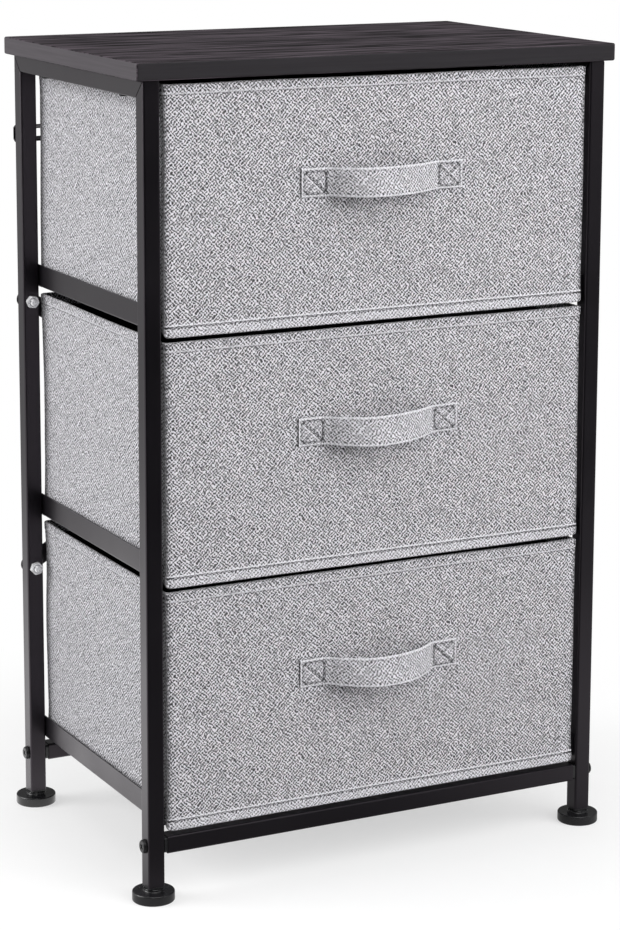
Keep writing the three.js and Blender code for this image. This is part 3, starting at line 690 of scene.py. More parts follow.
def finer_copy(node, finish_name):
    """A merged copy of a frame's node with its sharp edges softened."""
    shape = bmesh.new()
    shape.from_mesh(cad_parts[node].data)
    bmesh.ops.remove_doubles(shape, verts=shape.verts, dist=MERGE)
    bmesh.ops.dissolve_limit(
        shape, angle_limit=0.01, verts=shape.verts, edges=shape.edges,
        use_dissolve_boundaries=False)
    mesh = softened(plain_mesh(node, shape), SOFT_EDGE, 0.6)
    return add_piece(f"{node}_part", mesh, "frame", [node], [finish_name])


def brace_strip(node, slope, joggled):
    """A flat strip with round ends. The joggled one steps over the other where they cross."""
    low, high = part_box(node)
    sheet_low, sheet_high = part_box("brace_strip_rising")
    sheet = sheet_high.y - sheet_low.y
    lower, upper = (middle_of(f"brace_nut_{name}_left") for name in ("lower", "upper"))
    # The strip's ends are round, so its holes lie half its width inside its box.
    half_run = abs(lower.x)
    half_rise = (upper.z - lower.z) / 2
    half = math.hypot(half_run, half_rise)
    radius = high.x - half_run
    # The joggle is level for this far on each side of the crossing, and down again at its foot.
    lift, level, foot = high.y - low.y - sheet, 0.022, 0.036

    def height_at(place):
        return lift * smooth_step((foot - abs(place)) / (foot - level)) if joggled else 0.0

    end_steps, straight_steps = 12, 180
    cap = [QUARTER * step / end_steps for step in range(1, end_steps)]
    stations = [(-half - radius * math.cos(angle), radius * math.sin(angle)) for angle in cap]
    stations += [
        (-half + 2 * half * step / straight_steps, radius) for step in range(straight_steps + 1)]
    stations += [
        (half + radius * math.cos(angle), radius * math.sin(angle)) for angle in reversed(cap)]
    shape = bmesh.new()
    rings = []
    for place, reach in stations:
        back = low.y + height_at(place)
        corners = ((-reach, back), (reach, back), (reach, back + sheet), (-reach, back + sheet))
        rings.append([shape.verts.new((place, y, z)) for z, y in corners])
    loft(shape, rings)
    mesh = softened(mesh_of(node, shape), SOFT_EDGE, 1.0)
    turn = Matrix.Rotation(-slope * math.atan2(half_rise, half_run), 4, "Y")
    mesh.transform(Matrix.Translation((0, 0, (upper.z + lower.z) / 2)) @ turn)
    return add_piece(f"{node}_bar", mesh, "frame", [node], ["satin_black_paint"])


# Fasteners


def turned_shape(profile, count):
    """A bmesh turned about Z from radius and height points that start and end on the axis."""
    shape = bmesh.new()
    rings = []
    for radius, height in profile:
        if radius == 0:
            rings.append([shape.verts.new((0, 0, height))])
            continue
        ring = []
        for step in range(count):
            angle = 2 * math.pi * step / count
            across, deep = radius * math.cos(angle), radius * math.sin(angle)
            ring.append(shape.verts.new((across, deep, height)))
        rings.append(ring)
    for first, second in zip(rings, rings[1:]):
        for step in range(count):
            after = (step + 1) % count
            if len(first) == 1:
                shape.faces.new((first[0], second[after], second[step]))
            elif len(second) == 1:
                shape.faces.new((first[step], first[after], second[0]))
            else:
                shape.faces.new((first[step], first[after], second[after], second[step]))
    return shape


def quarter_round(centre_radius, centre_height, radius, start, end, steps):
    """Points of an arc, as radius and height, from one angle to another."""
    points = []
    for step in range(steps + 1):
        angle = start + (end - start) * step / steps
        points.append((
            centre_radius + radius * math.cos(angle), centre_height + radius * math.sin(angle)))
    return points


def box_shape(low, high):
    """A bmesh box between two corners."""
    shape = bmesh.new()
    bmesh.ops.create_cube(shape, size=1.0)
    for corner in shape.verts:
        corner.co = Vector([
            low[axis] if corner.co[axis] < 0 else high[axis] for axis in range(3)])
    return shape


def cut_from(mesh, cutters, operation="DIFFERENCE"):
    """A mesh with other closed meshes cut from it, or kept only where they overlap it."""
    holders = [linked("cutter", cutter) for cutter in cutters]
    result = applied(mesh, *(
        ("BOOLEAN", {"operation": operation, "object": holder, "solver": "EXACT"})
        for holder in holders))
    for holder in holders:
        bpy.data.objects.remove(holder)
    return result


def pan_screw(head, height, shank, reach, thread_pitch, thread_from):
    """A pan-head screw on Z: its head's underside at zero, the head up and the shank down."""
    rim = height * 0.42
    profile = [(0, height), (head * 0.3, height * 0.985)]
    profile += quarter_round(head / 2 - rim * 1.3, height - rim, rim, QUARTER * 0.9, 0, 8)
    profile += [(head / 2, height * 0.3), (head / 2 - height * 0.06, 0), (shank / 2, 0)]
    depth = thread_from
    profile.append((shank / 2, -depth))
    # Each turn is a crest, a root and a crest, as shares of the pitch inwards and down.
    while depth + thread_pitch < reach:
        profile += [
            (shank / 2 - thread_pitch * inwards, -depth - thread_pitch * down)
            for inwards, down in ((0, 0.15), (0.5, 0.55), (0, 0.95))]
        depth += thread_pitch
    profile += [(shank / 2 - thread_pitch * 0.7, -reach), (0, -reach)]
    screw = mesh_of("screw", turned_shape(profile, 36), smooth=False)
    # Half the length and width of the recess's slots, and their floor and top.
    arm, slot, floor, top = head * 0.235, head * 0.054, height * 0.42, height * 2
    return cut_from(screw, [
        mesh_of("slot", box_shape((-x, -y, floor), (x, y, top)))
        for x, y in ((arm, slot), (slot, arm))])


def hexagon_nut(across_flats, height, bore):
    """A hexagon nut on Z with both faces chamfered and a round bore."""
    corner = across_flats / math.sqrt(3)
    chamfer = height * 0.14
    prism = turned_shape([(0, 0), (corner, 0), (corner, height), (0, height)], 6)
    rim, land = corner + chamfer * 0.2, corner - chamfer * 1.5
    crown = turned_shape([
        (0, 0), (land, 0), (rim, chamfer), (rim, height - chamfer), (land, height), (0, height)],
        48)
    hole = turned_shape([
        (0, -height), (bore / 2, -height), (bore / 2, height * 0.8),
        (bore / 2 + height * 0.4, height * 1.2), (0, height * 1.2)], 32)
    nut = cut_from(mesh_of("nut", prism), [mesh_of("crown", crown)], "INTERSECT")
    return cut_from(nut, [mesh_of("hole", hole)])


def turn_of(direction, spin):
    """The turn that points a fastener's head along a direction, spun about itself."""
    turn = Vector(direction).to_track_quat("Z", "Y").to_matrix()
    return (turn @ Matrix.Rotation(spin, 3, "Z")).to_euler()


def set_fasteners(name, template, rows, tree, finish_name):
    """One piece of like fasteners, made by the tree from rows of node, place and turn."""
    nodes, places, turns = zip(*rows)
    points = bpy.data.meshes.new(name)
    points.from_pydata(places, [], [])
    attribute = points.attributes.new("turn", "FLOAT_VECTOR", "POINT")
    for index, turn in enumerate(turns):
        attribute.data[index].vector = turn
    holder = linked("template", template)
    mesh = made_by_tree(tree, points, {
        "Fastener": holder, "Scale": 1.0, "Material": finish(finish_name)})
    bpy.data.objects.remove(holder)
    return add_piece(name, mesh, "frame", nodes, [finish_name])


def brace_rivet():
    """The rivet through both strips, with a domed head on each side."""
    low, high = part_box("brace_rivet")
    radius, pin, grip = (high.x - low.x) / 2, 0.0024, 0.0033
    crown = (high.y - low.y - grip) / 2
    cap = quarter_round(0, 0, 1, 0, QUARTER, 8)[:-1]
    profile = [(0, -grip - crown)]
    profile += [(radius * x, -grip - crown * y) for x, y in reversed(cap)]
    profile += [(pin, -grip), (pin, 0)]
    profile += [(radius * x, crown * y) for x, y in cap] + [(0, crown)]
    rivet = mesh_of("rivet", turned_shape(profile, 40), smooth=True)
    centre = middle_of("brace_rivet")
    centre.y = high.y - crown
    rivet.transform(Matrix.Translation(centre) @ Matrix.Rotation(-QUARTER, 4, "X"))
    add_piece("brace_rivet_pin", rivet, "frame", ["brace_rivet"], ["bright_zinc"])


# Board


def top_board(board):
    """The board with rounded edges, grained above and below and banded round its edges."""
    low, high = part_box("top_board")
    shape = box_shape(low, high)
    middle = (low.z + high.z) / 2

    def rounded(chosen, radius):
        edges = [edge for edge in shape.edges if chosen(*(end.co.z for end in edge.verts))]
        bmesh.ops.bevel(
            shape, geom=edges, offset=radius, segments=5, profile=0.5, affect="EDGES",
            clamp_overlap=True)

    # The upright corners are rounder than the long edges.
    rounded(lambda one, two: abs(one - two) > board.edge_radius, board.edge_radius * 1.8)
    rounded(lambda one, two: (one - middle) * (two - middle) > 0, board.edge_radius)
    mesh = mesh_of("top_board_panel", shape)
    # A face that leans out more than this towards a side belongs to that side's band.
    banded = 0.75
    for face in mesh.polygons:
        if abs(face.normal.x) > banded:
            face.material_index = 1
        elif abs(face.normal.y) > banded:
            face.material_index = 2
    return add_piece(
        "top_board_panel", mesh, "frame", ["top_board"],
        ["dark_oak", "oak_edge_band", "oak_front_band"])


# Drawers


def smooth_step(value):
    """Zero below zero, one above one, and an even S between."""
    value = min(max(value, 0.0), 1.0)
    return value * value * (3 - 2 * value)


def hump(distance, width):
    """One at no distance, fading out on both sides."""
    return math.exp(-(distance / width) ** 2)


def within(distance):
    """One inside the edge of a hem, zero beyond it."""
    return 1 - smooth_step((distance + 0.0006) / 0.0012)


def plan_loop(low, high, front_radius, rear_radius, counts):
    """Points round a drawer in plan, with their outward directions.

    They run anticlockwise from the front left corner's front end.
    """
    corners = [
        ((high.x - front_radius, low.y + front_radius), front_radius, -QUARTER),
        ((high.x - rear_radius, high.y - rear_radius), rear_radius, 0.0),
        ((low.x + rear_radius, high.y - rear_radius), rear_radius, QUARTER),
        ((low.x + front_radius, low.y + front_radius), front_radius, 2 * QUARTER),
    ]
    straights = (counts["front"], counts["side"], counts["front"], counts["side"])
    points = []
    previous = (low.x + front_radius, low.y)
    for (centre, radius, angle), count in zip(corners, straights):

        def at(turn):
            out = (math.cos(turn), math.sin(turn))
            return (centre[0] + radius * out[0], centre[1] + radius * out[1], *out)

        first = at(angle)
        for step in range(count):
            along = step / count
            points.append((
                previous[0] + (first[0] - previous[0]) * along,
                previous[1] + (first[1] - previous[1]) * along, *first[2:]))
        for step in range(counts["corner"]):
            points.append(at(angle + QUARTER * step / counts["corner"]))
        previous = at(angle + QUARTER)
    return points


class DrawerForm:
    """The outline and soft relief of one drawer's fabric body."""

    counts = {"front": 156, "side": 72, "corner": 8}
    front_radius = 0.0032
    rear_radius = 0.005
    lower_corner = 0.0032
    floor = 0.0015
    wall = 0.0024
    # The rounding of the cut edges above and below.
    rim = 0.0009
    # How far the fabric turns in over the top, and where the lining starts below it.
    turn_in = 0.012
    lining_start = 0.0122
    # The cloth's quick unevenness, its slow waves, how much larger they are behind the front, and
    # how far the walls there sink in.
    unevenness = 0.00022
    waves = 0.0009
    waves_behind = 0.0005
    sink_behind = 0.0007
    # The waves and the sinking fade away this near to the edges above and below.
    calm_margin = 0.03
    # The top hem's extra thickness, how far its seam is drawn in, and how far that puckers.
    hem_fold, hem_draw, hem_pucker = 0.0004, 0.0005, 0.0002
    # The same for the band under the front's lower seam, and how far it swells just above it.
    band_fold, band_draw, band_pucker, band_swell = 0.0006, 0.0007, 0.00025, 0.0005
    pucker_reach = 0.004
    # How far the front falls away at its upright edges, and over how wide a strip.
    edge_fall, edge_strip = 0.0009, 0.009
    # The furthest that the cloth sinks anywhere, which keeps it clear of the boards inside.
    deepest = 0.0013
    # Painted highlight and shade lines by a hem's edge: how light (below zero, how dark), how far
    # past the edge, and how wide.
    top_lines = ((0.4, -0.0007, 0.0007), (-0.35, 0.0006, 0.0006))
    front_lines = ((0.5, 0.0016, 0.0008), (-0.8, 0.0, 0.0008))

    def __init__(self, level, fabric):
        name = f"drawer_{LEVELS[level]}"
        self.level = level
        self.fabric = fabric
        self.low, self.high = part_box(f"{name}_fabric_body")
        board_low, board_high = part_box(f"{name}_front_board")
        base_low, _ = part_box(f"{name}_base_board")
        seat = board_low.y - self.low.y
        self.front = board_high.y + seat - self.low.y
        self.floor_top = base_low.z - SEAT_GAP
        self.floor_bottom = self.floor_top - self.floor
        self.outer = plan_loop(
            self.low, self.high, self.front_radius, self.rear_radius, self.counts)
        inner_low = Vector((self.low.x + self.wall, self.low.y + self.front, 0))
        inner_high = Vector((self.high.x - self.wall, self.high.y - self.wall, 0))
        inner_rear = self.rear_radius - self.wall
        self.inner = plan_loop(inner_low, inner_high, inner_rear, inner_rear, self.counts)
        self.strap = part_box(f"{name}_handle")
        self.run = [0.0]
        for first, second in zip(self.outer, self.outer[1:]):
            self.run.append(self.run[-1] + math.dist(first[:2], second[:2]))

    def frontness(self, index):
        """One on the front face, falling to zero behind it."""
        return 1 - smooth_step((self.outer[index][1] - self.low.y) / self.front)

    def lower_edge(self, index):
        """The front hangs lower than the other walls."""
        return self.floor_bottom + (self.low.z - self.floor_bottom) * self.frontness(index)

    def seam(self, index, z):
        """Painted light and shade by the hems and edges: above zero a painted highlight on a ridge
        or band, below zero painted shade in a crease.
        """
        front = self.frontness(index)
        below_top = self.high.z - z
        past_hem = below_top - self.fabric.top_hem
        past_band = z - self.low.z - self.fabric.bottom_hem
        # Painted highlight and shade lines along the top hem's seam.
        value = sum(light * hump(past_hem - at, width) for light, at, width in self.top_lines)
        # Painted shade just under the top edge.
        value -= 0.1 * hump(below_top, 0.003)
        # A painted highlight on the front's fuller band under its lower seam.
        value += front * 0.2 * within(past_band)
        # Painted highlight on the lower seam's ridge and painted shade in its crease.
        for light, at, width in self.front_lines:
            value += front * light * hump(past_band - at, width)
        # The front gets painted shade where it falls away to its upright edges.
        if front > 0.9:
            value -= 0.35 * (1 - smooth_step(self.from_side(index) / 0.006))
        return value

    def from_side(self, index):
        """How far a place is from the nearer side of the drawer."""
        x = self.outer[index][0]
        return min(x - self.low.x, self.high.x - x)

    def relief(self, index, z):
        """How far the fabric stands out of its plane at a place: hems, seams and softness."""
        x, y, _, _ = self.outer[index]
        front = self.frontness(index)
        below_top = self.high.z - z
        seed = 10.0 * self.level
        slow = noise.noise(Vector((x * 9 + seed, y * 9, z * 9)))
        quick = noise.noise(Vector((x * 34 + seed, y * 34 + 5, z * 34)))
        pucker = noise.noise(Vector((x * 160 + seed, y * 160 + 9, z * 40)))
        behind = 1 - front
        inside = smooth_step(min(below_top, z - self.lower_edge(index)) / self.calm_margin)
        depth = slow * (self.waves + self.waves_behind * behind) * inside
        depth += quick * self.unevenness
        depth -= self.sink_behind * behind * inside
        # The folded top hem is thicker, and its seam draws the fabric in.
        past_hem = below_top - self.fabric.top_hem
        depth += self.hem_fold * within(past_hem)
        depth -= self.hem_draw * hump(past_hem, 0.0008)
        depth += self.hem_pucker * pucker * hump(past_hem, self.pucker_reach)
        # The seam above the front's lower edge, and the fuller band under it.
        past_band = z - self.low.z - self.fabric.bottom_hem
        depth += front * self.band_fold * within(past_band)
        depth += front * self.band_swell * hump(past_band - 0.0012, 0.0007)
        depth -= front * self.band_draw * hump(past_band, 0.0007)
        depth += front * self.band_pucker * pucker * hump(past_band, self.pucker_reach)
        # The fronts' upright edges fall away before they turn the corner.
        if front > 0.99:
            depth -= self.edge_fall * (1 - smooth_step(self.from_side(index) / self.edge_strip))
            # Under the sewn ends of the strap the fabric is held flat.
            strap_low, strap_high = self.strap
            away = max(strap_low.x - x, x - strap_high.x, strap_low.z - z, z - strap_high.z)
            held = 1 - smooth_step(away / 0.012)
            depth = depth * (1 - held) - 0.0001 * held
        return max(depth, -self.deepest)

    def place(self, index, z, mix=0.0, lift=0.0):
        """A point of the wall: mix runs from the outer face, zero, to the inner one."""
        x, y, nx, ny = self.outer[index]
        inner = self.inner[index]
        out = (self.relief(index, z) + lift) * (1 - mix)
        top = self.high.z
        # The top edge is cut and sewn by hand, so it dips and rises a little.
        sway = noise.noise(Vector((x * 12 + self.level * 7, y * 12, 3.0))) * 0.0007 - 0.0004
        near_top = smooth_step(1 - (top - z) / 0.02)
        # The front's lower corners are rounded.
        drop = max(self.lower_corner - (z - self.low.z), 0.0)
        inset = self.lower_corner - math.sqrt(self.lower_corner ** 2 - drop ** 2)
        middle = (self.low.x + self.high.x) / 2
        squeeze = 1 - inset * self.frontness(index) / (self.high.x - middle)
        x = middle + (x - middle) * squeeze
        return Vector((
            x + (inner[0] - x) * mix + nx * out,
            y + (inner[1] - y) * mix + ny * out,
            z + sway * near_top))

    def heights(self, low, high):
        """Rows up the wall, close together where the seams are."""
        marks = [low]
        margin, step_fine, step_wide = 0.003, 0.0005, 0.0045
        hem_low = low + self.fabric.bottom_hem + margin
        hem_high = high - self.fabric.top_hem - margin
        for start, end, height in (
                (low, hem_low, step_fine), (hem_low, hem_high, step_wide),
                (hem_high, high, step_fine)):
            count = round((end - start) / height)
            marks += [start + (end - start) * step / count for step in range(1, count + 1)]
        return marks

    def profile(self, index):
        """The wall's section at one place: height, mix and whether it is lining."""
        edge = self.rim
        low = self.lower_edge(index)
        top = self.high.z
        # The edges above and below are rounded over the wall's thickness.
        points = [
            (self.floor_bottom, 1.0, 0), (low + edge, 1.0, 0), (low, 0.85, 0), (low, 0.15, 0)]
        outer = self.heights(self.low.z + edge, top - edge)
        for z in outer:
            share_up = (z - outer[0]) / (outer[-1] - outer[0])
            points.append((low + edge + (top - 2 * edge - low) * share_up, 0.0, 0))
        points += [
            (top - edge * 0.3, 0.08, 0), (top, 0.3, 0), (top, 0.7, 0),
            (top - edge * 0.3, 0.92, 0), (top - edge, 1.0, 0)]
        lining_top = top - self.lining_start
        points += [(top - self.turn_in, 1.0, 0), (lining_top, 1.0, 1)]
        rows = 14
        for row in range(1, rows + 1):
            points.append((lining_top + (self.floor_top - lining_top) * row / rows, 1.0, 1))
        return points


def drawer_mesh(form):
    """One closed mesh: a floor inside and below, joined by the walls' sections."""
    shape = bmesh.new()
    flat = shape.loops.layers.uv.new("weave")
    pressed = shape.verts.layers.float.new("seam")
    count = len(form.outer)
    total = form.run[-1] + math.dist(form.outer[-1][:2], form.outer[0][:2])
    columns = []
    for index in range(count):
        column = []
        travelled = 0.0
        previous = None
        for z, mix, lined in form.profile(index):
            point = form.place(index, z, mix)
            if previous is not None:
                travelled += (point - previous).length
            previous = point
            corner = shape.verts.new(point)
            # The outer face carries the painted light and shade. Every inner face gets a little
            # painted shade.
            corner[pressed] = form.seam(index, z) if mix == 0.0 else -0.1
            column.append((corner, travelled, lined))
        columns.append(column)
    rows = len(columns[0])
    for index in range(count):
        after = (index + 1) % count
        left = form.run[index]
        right = form.run[after] if after else total
        for row in range(rows - 1):
            corners = (
                (columns[index][row], left), (columns[after][row], right),
                (columns[after][row + 1], right), (columns[index][row + 1], left))
            face = shape.faces.new([corner[0][0] for corner in corners])
            front = form.frontness(index) > 0.5 or form.frontness(after) > 0.5
            lined = columns[index][row][2] and columns[index][row + 1][2]
            face.material_index = 2 if lined else (0 if front else 1)
            face.smooth = True
            for loop, corner in zip(face.loops, corners):
                loop[flat].uv = (corner[1], corner[0][1])
    for row, material in ((0, 1), (rows - 1, 2)):
        ring = [column[row][0] for column in columns]
        if row:
            ring.reverse()
        face = shape.faces.new(ring)
        face.material_index = material
        for loop in face.loops:
            loop[flat].uv = (loop.vert.co.x, loop.vert.co.y)
    bmesh.ops.triangulate(shape, faces=[face for face in shape.faces if len(face.verts) > 4])
    bmesh.ops.remove_doubles(shape, verts=shape.verts, dist=2 * MERGE)
    bmesh.ops.recalc_face_normals(shape, faces=shape.faces)
    return plain_mesh("drawer", shape)


def edges_of(lines):
    """A mesh of edges, one chain for each line of points."""
    points, edges = [], []
    for line in lines:
        start = len(points)
        points += line
        edges += [(start + step, start + step + 1) for step in range(len(line) - 1)]
    mesh = bpy.data.meshes.new("lines")
    mesh.from_pydata(points, edges, [])
    return mesh


def sew(name, lines, body, fabric, tree, wander, seed):
    """A piece of stitches along some lines of points."""
    mesh = made_by_tree(tree, edges_of(lines), {
        "Pitch": fabric.stitch_pitch, "Stitch Length": fabric.stitch_length,
        "Thread Radius": fabric.thread_radius, "Wander": wander, "Seed": seed,
        "Material": finish("grey_thread")})
    add_piece(name, mesh, body, [], ["grey_thread"])


def seam_lines(form):
    """The top hem's seam round the whole drawer and the front's lower seam."""
    fabric = form.fabric
    lift = fabric.thread_radius * 0.5
    top = form.high.z - fabric.top_hem
    around = [form.place(index, top, 0.0, lift) for index in range(len(form.outer))]
    around.append(around[0].copy())
    bottom = form.low.z + fabric.bottom_hem
    # The lower seam stops short of the corners.
    spare = 2
    below = [
        form.place(index, bottom, 0.0, lift)
        for index in range(spare, form.counts["front"] - spare)]
    return [around, below]


# Handles


class StrapForm:
    """A flat strap sewn down at both ends and bowed out between them."""

    thickness = 0.0016
    path_step = 0.0005
    ease = 0.0035
    # Each strap's furthest point along its length, and its share of the frame's bow. It stands
    # out further at its lower edge.
    shapes = ((0.0, 0.9), (-0.15, 0.85), (-0.3, 0.8))
    lean = 0.14
    # How wide the cut ends are, the painted shade on them, and the painted shade on the strap's
    # back.
    cut_end, cut_dark, back_dark = 0.0003, -0.7, -0.5
    # The painted highlight on the folded edges and ends, and the painted shade in the crease inside
    # the edges.
    fold_light, end_light, crease_dark = 0.32, 0.27, 0.12
    # The painted shade on a patch's sewn box, its inner end and its cross, and the painted
    # highlight on the cross's lit side.
    box_dark, inner_dark, cross_dark, cross_light = 0.65, 0.8, 0.75, 0.35
    # How wide the painted lines are, and how far round the box they reach.
    line_width, box_reach = 0.0007, 0.001

    def __init__(self, level, handle):
        low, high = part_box(f"drawer_{LEVELS[level]}_handle")
        self.handle = handle
        self.width = high.z - low.z
        self.centre_z = (low.z + high.z) / 2
        self.centre_x = (low.x + high.x) / 2
        self.half = (high.x - low.x) / 2
        self.span = self.half - handle.patch
        self.face = high.y
        self.bow = self.face - low.y - self.thickness
        self.level = level
        self.peak, self.fullness = self.shapes[level]

    def raw(self, x):
        """How far the strap's back stands off the drawer's front."""
        if abs(x) >= self.span:
            return 0.0
        place = x / self.span - self.peak
        reach = 1 - self.peak if place > 0 else 1 + self.peak
        return self.bow * self.fullness * (1 - (place / reach) ** 2)

    def path(self):
        """Points along the strap's back, with the bends where it leaves the patches eased."""
        count = round(2 * self.half / self.path_step)
        xs = [-self.half + 2 * self.half * step / count for step in range(count + 1)]
        spread = round(self.ease / self.path_step)
        offs = [self.raw(x) for x in xs]
        eased = []
        for index in range(len(offs)):
            reach = min(spread, index, len(offs) - 1 - index)
            window = offs[index - reach:index + reach + 1]
            eased.append(sum(window) / len(window))
        return list(zip(xs, eased))

    def section(self):
        """The strap's cross section: height, and how far from its back, round the outline."""
        half = self.width / 2
        rounding = self.thickness * 0.5
        front = []
        steps = 46
        for step in range(steps + 1):
            z = -(half - rounding) + 2 * (half - rounding) * step / steps
            front.append((z, self.thickness - self.sink(z)))
        edge_high = quarter_round(half - rounding, rounding, rounding, QUARTER, -QUARTER, 6)[1:-1]
        back = [(z, 0.0) for z in (half - rounding, 0.0, rounding - half)]
        edge_low = [(-z, y) for z, y in reversed(edge_high)]
        return front + edge_high + back + edge_low

    def sink(self, z):
        """The middle of the strap is thinner than its folded edges."""
        edge = self.width / 2 - abs(z)
        return 0.00035 * smooth_step((edge - self.handle.fold + 0.0005) / 0.001)

    def seam(self, x, z):
        """The painted highlight and shade of the strap's folds, cut ends and sewn boxes at a place.
        """
        half = self.width / 2
        edge = half - abs(z)
        end = self.half - abs(x)
        # The cut end gets painted shade. The folded edges get a painted highlight, with a faint
        # painted shade in the crease inside them.
        if end < self.cut_end:
            return self.cut_dark
        value = self.fold_light * (1 - smooth_step((edge - 0.001) / 0.001))
        value -= self.crease_dark * hump(edge - self.handle.fold - 0.0004, 0.0006)
        if abs(x) <= self.span:
            return value
        # On a patch the folded end gets a painted highlight as well, and the sewn box gets painted
        # shade.
        value += self.end_light * (1 - smooth_step((end - 0.0012) / 0.001))
        box_half, box_low, box_high = self.sewn_box()
        inside_x = box_low - self.box_reach < abs(x) < box_high + self.box_reach
        inside_z = abs(z) < box_half + self.box_reach
        if inside_z:
            value -= self.box_dark * hump(abs(x) - box_high, self.line_width)
            value -= self.inner_dark * hump(abs(x) - box_low, 0.001)
        if inside_x:
            value -= self.box_dark * hump(abs(z) - box_half, self.line_width)
        if inside_x and inside_z:
            # One arm of the cross lies over the other. Each gets painted shade along it and a
            # painted highlight along one side.
            along = (abs(x) - box_low) / (box_high - box_low) * 2 - 1
            slope = z / box_half
            for side, strength in ((-1, 1.0), (1, 0.6)):
                across = (along + side * (slope if x < 0 else -slope)) * box_half * 0.7
                value -= strength * self.cross_dark * hump(across, 0.0009)
                value += strength * self.cross_light * hump(across - 0.0016, self.line_width)
        return value

    def sewn_box(self):
        """Half the height of a patch's stitched box, and how far from the middle its ends are."""
        inset = self.handle.inset
        return self.width / 2 - inset, self.span + inset * 0.6, self.half - inset

    def mesh(self):
        """The strap as one closed mesh, flat on its patches and bowed between them."""
        shape = bmesh.new()
        flat = shape.loops.layers.uv.new("weave")
        pressed = shape.verts.layers.float.new("seam")
        section = self.section()
        path = self.path()
        rings = []
        travelled = 0.0
        for index, (x, off) in enumerate(path):
            before = path[max(index - 1, 0)]
            after = path[min(index + 1, len(path) - 1)]
            along = Vector((after[0] - before[0], -(after[1] - before[1]), 0)).normalized()
            outward = Vector((along.y, -along.x, 0))
            if index:
                travelled += math.dist(path[index - 1], path[index])
            wave = noise.noise(Vector((x * 25, self.level * 5.0, 0.0))) * 0.0005
            ring = []
            for z, depth in section:
                stand = off * (1 - self.lean * z / (self.width / 2))
                point = Vector((self.centre_x + x, self.face - stand, self.centre_z + z + wave))
                corner = shape.verts.new(point + outward * depth)
                outside = depth > self.thickness * 0.4
                # The outside carries the painted light and shade of folds, ends and boxes. The back
                # gets painted shade.
                corner[pressed] = self.seam(x, z) if outside else self.back_dark
                ring.append(corner)
            rings.append((ring, travelled))
        count = len(section)
        around = [0.0]
        for first, second in zip(section, section[1:]):
            around.append(around[-1] + math.dist(first, second))
        around.append(around[-1] + math.dist(section[-1], section[0]))
        for (first, start), (second, end) in zip(rings, rings[1:]):
            for index in range(count):
                after = (index + 1) % count
                face = shape.faces.new((first[index], second[index], second[after], first[after]))
                face.smooth = True
                values = (
                    (start, around[index]), (end, around[index]),
                    (end, around[index + 1]), (start, around[index + 1]))
                for loop, value in zip(face.loops, values):
                    loop[flat].uv = value
        for ring, _ in (rings[0], rings[-1]):
            shape.faces.new(ring)
        bmesh.ops.recalc_face_normals(shape, faces=shape.faces)
        return plain_mesh("strap", shape)

    def stitch_lines(self):
        """A box with a cross in it on each patch."""
        sunk = 0.0002
        y = self.face - self.thickness + sunk
        box_half, box_low, box_high = self.sewn_box()
        low, high = self.centre_z - box_half, self.centre_z + box_half
        lines = []
        for side in (-1, 1):
            outer = self.centre_x + side * box_high
            inner = self.centre_x + side * box_low
            a, b = Vector((outer, y, low)), Vector((inner, y, low))
            c, d = Vector((inner, y, high)), Vector((outer, y, high))
            lines += [[a, b], [b, c], [c, d], [d, a], [a, c], [b, d]]
        return lines


# Feet


def levelling_foot(node, body):
    """A round pad with softened edges, a flared neck and a threaded stem."""
    low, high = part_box(node)
    radius = (high.x - low.x) / 2
    # The pad's rounding and thickness, the radius and flare of its neck, and the stem's radius.
    edge, thick, neck, flare, stem = 0.0011, 0.0085, 0.0085, 0.0014, 0.004
    neck_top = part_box("leg_plug_front_left")[0].z - SEAT_GAP
    profile = [(0, 0), (radius - edge * 1.4, 0)]
    profile += quarter_round(radius - edge, edge, edge, -QUARTER, 0, 8)[1:]
    profile += quarter_round(radius - edge, thick - edge, edge, 0, QUARTER, 8)
    profile.append((neck + flare, thick))
    profile += [
        (neck + flare - flare * math.sin(angle), thick + flare * (1 - math.cos(angle)))
        for angle in (QUARTER * step / 6 for step in range(1, 7))]
    profile += [
        (neck, neck_top - SOFT_EDGE), (neck - SOFT_EDGE, neck_top), (stem, neck_top)]
    depth = neck_top
    pitch = 0.00125
    while depth + pitch < high.z - 0.001:
        profile += [(stem, depth + pitch * 0.1), (stem - pitch * 0.5, depth + pitch * 0.5),
                    (stem, depth + pitch * 0.9)]
        depth += pitch
    profile += [(stem - 0.001, high.z), (0, high.z)]
    mesh = mesh_of(node, turned_shape(profile, 80), smooth=True)
    mesh.set_sharp_from_angle(angle=0.6)
    centre = (low + high) / 2
    mesh.transform(Matrix.Translation((centre.x, centre.y, low.z)))
    return add_piece(f"{node}_pad", mesh, body, [node], ["black_plastic"])


# Stage


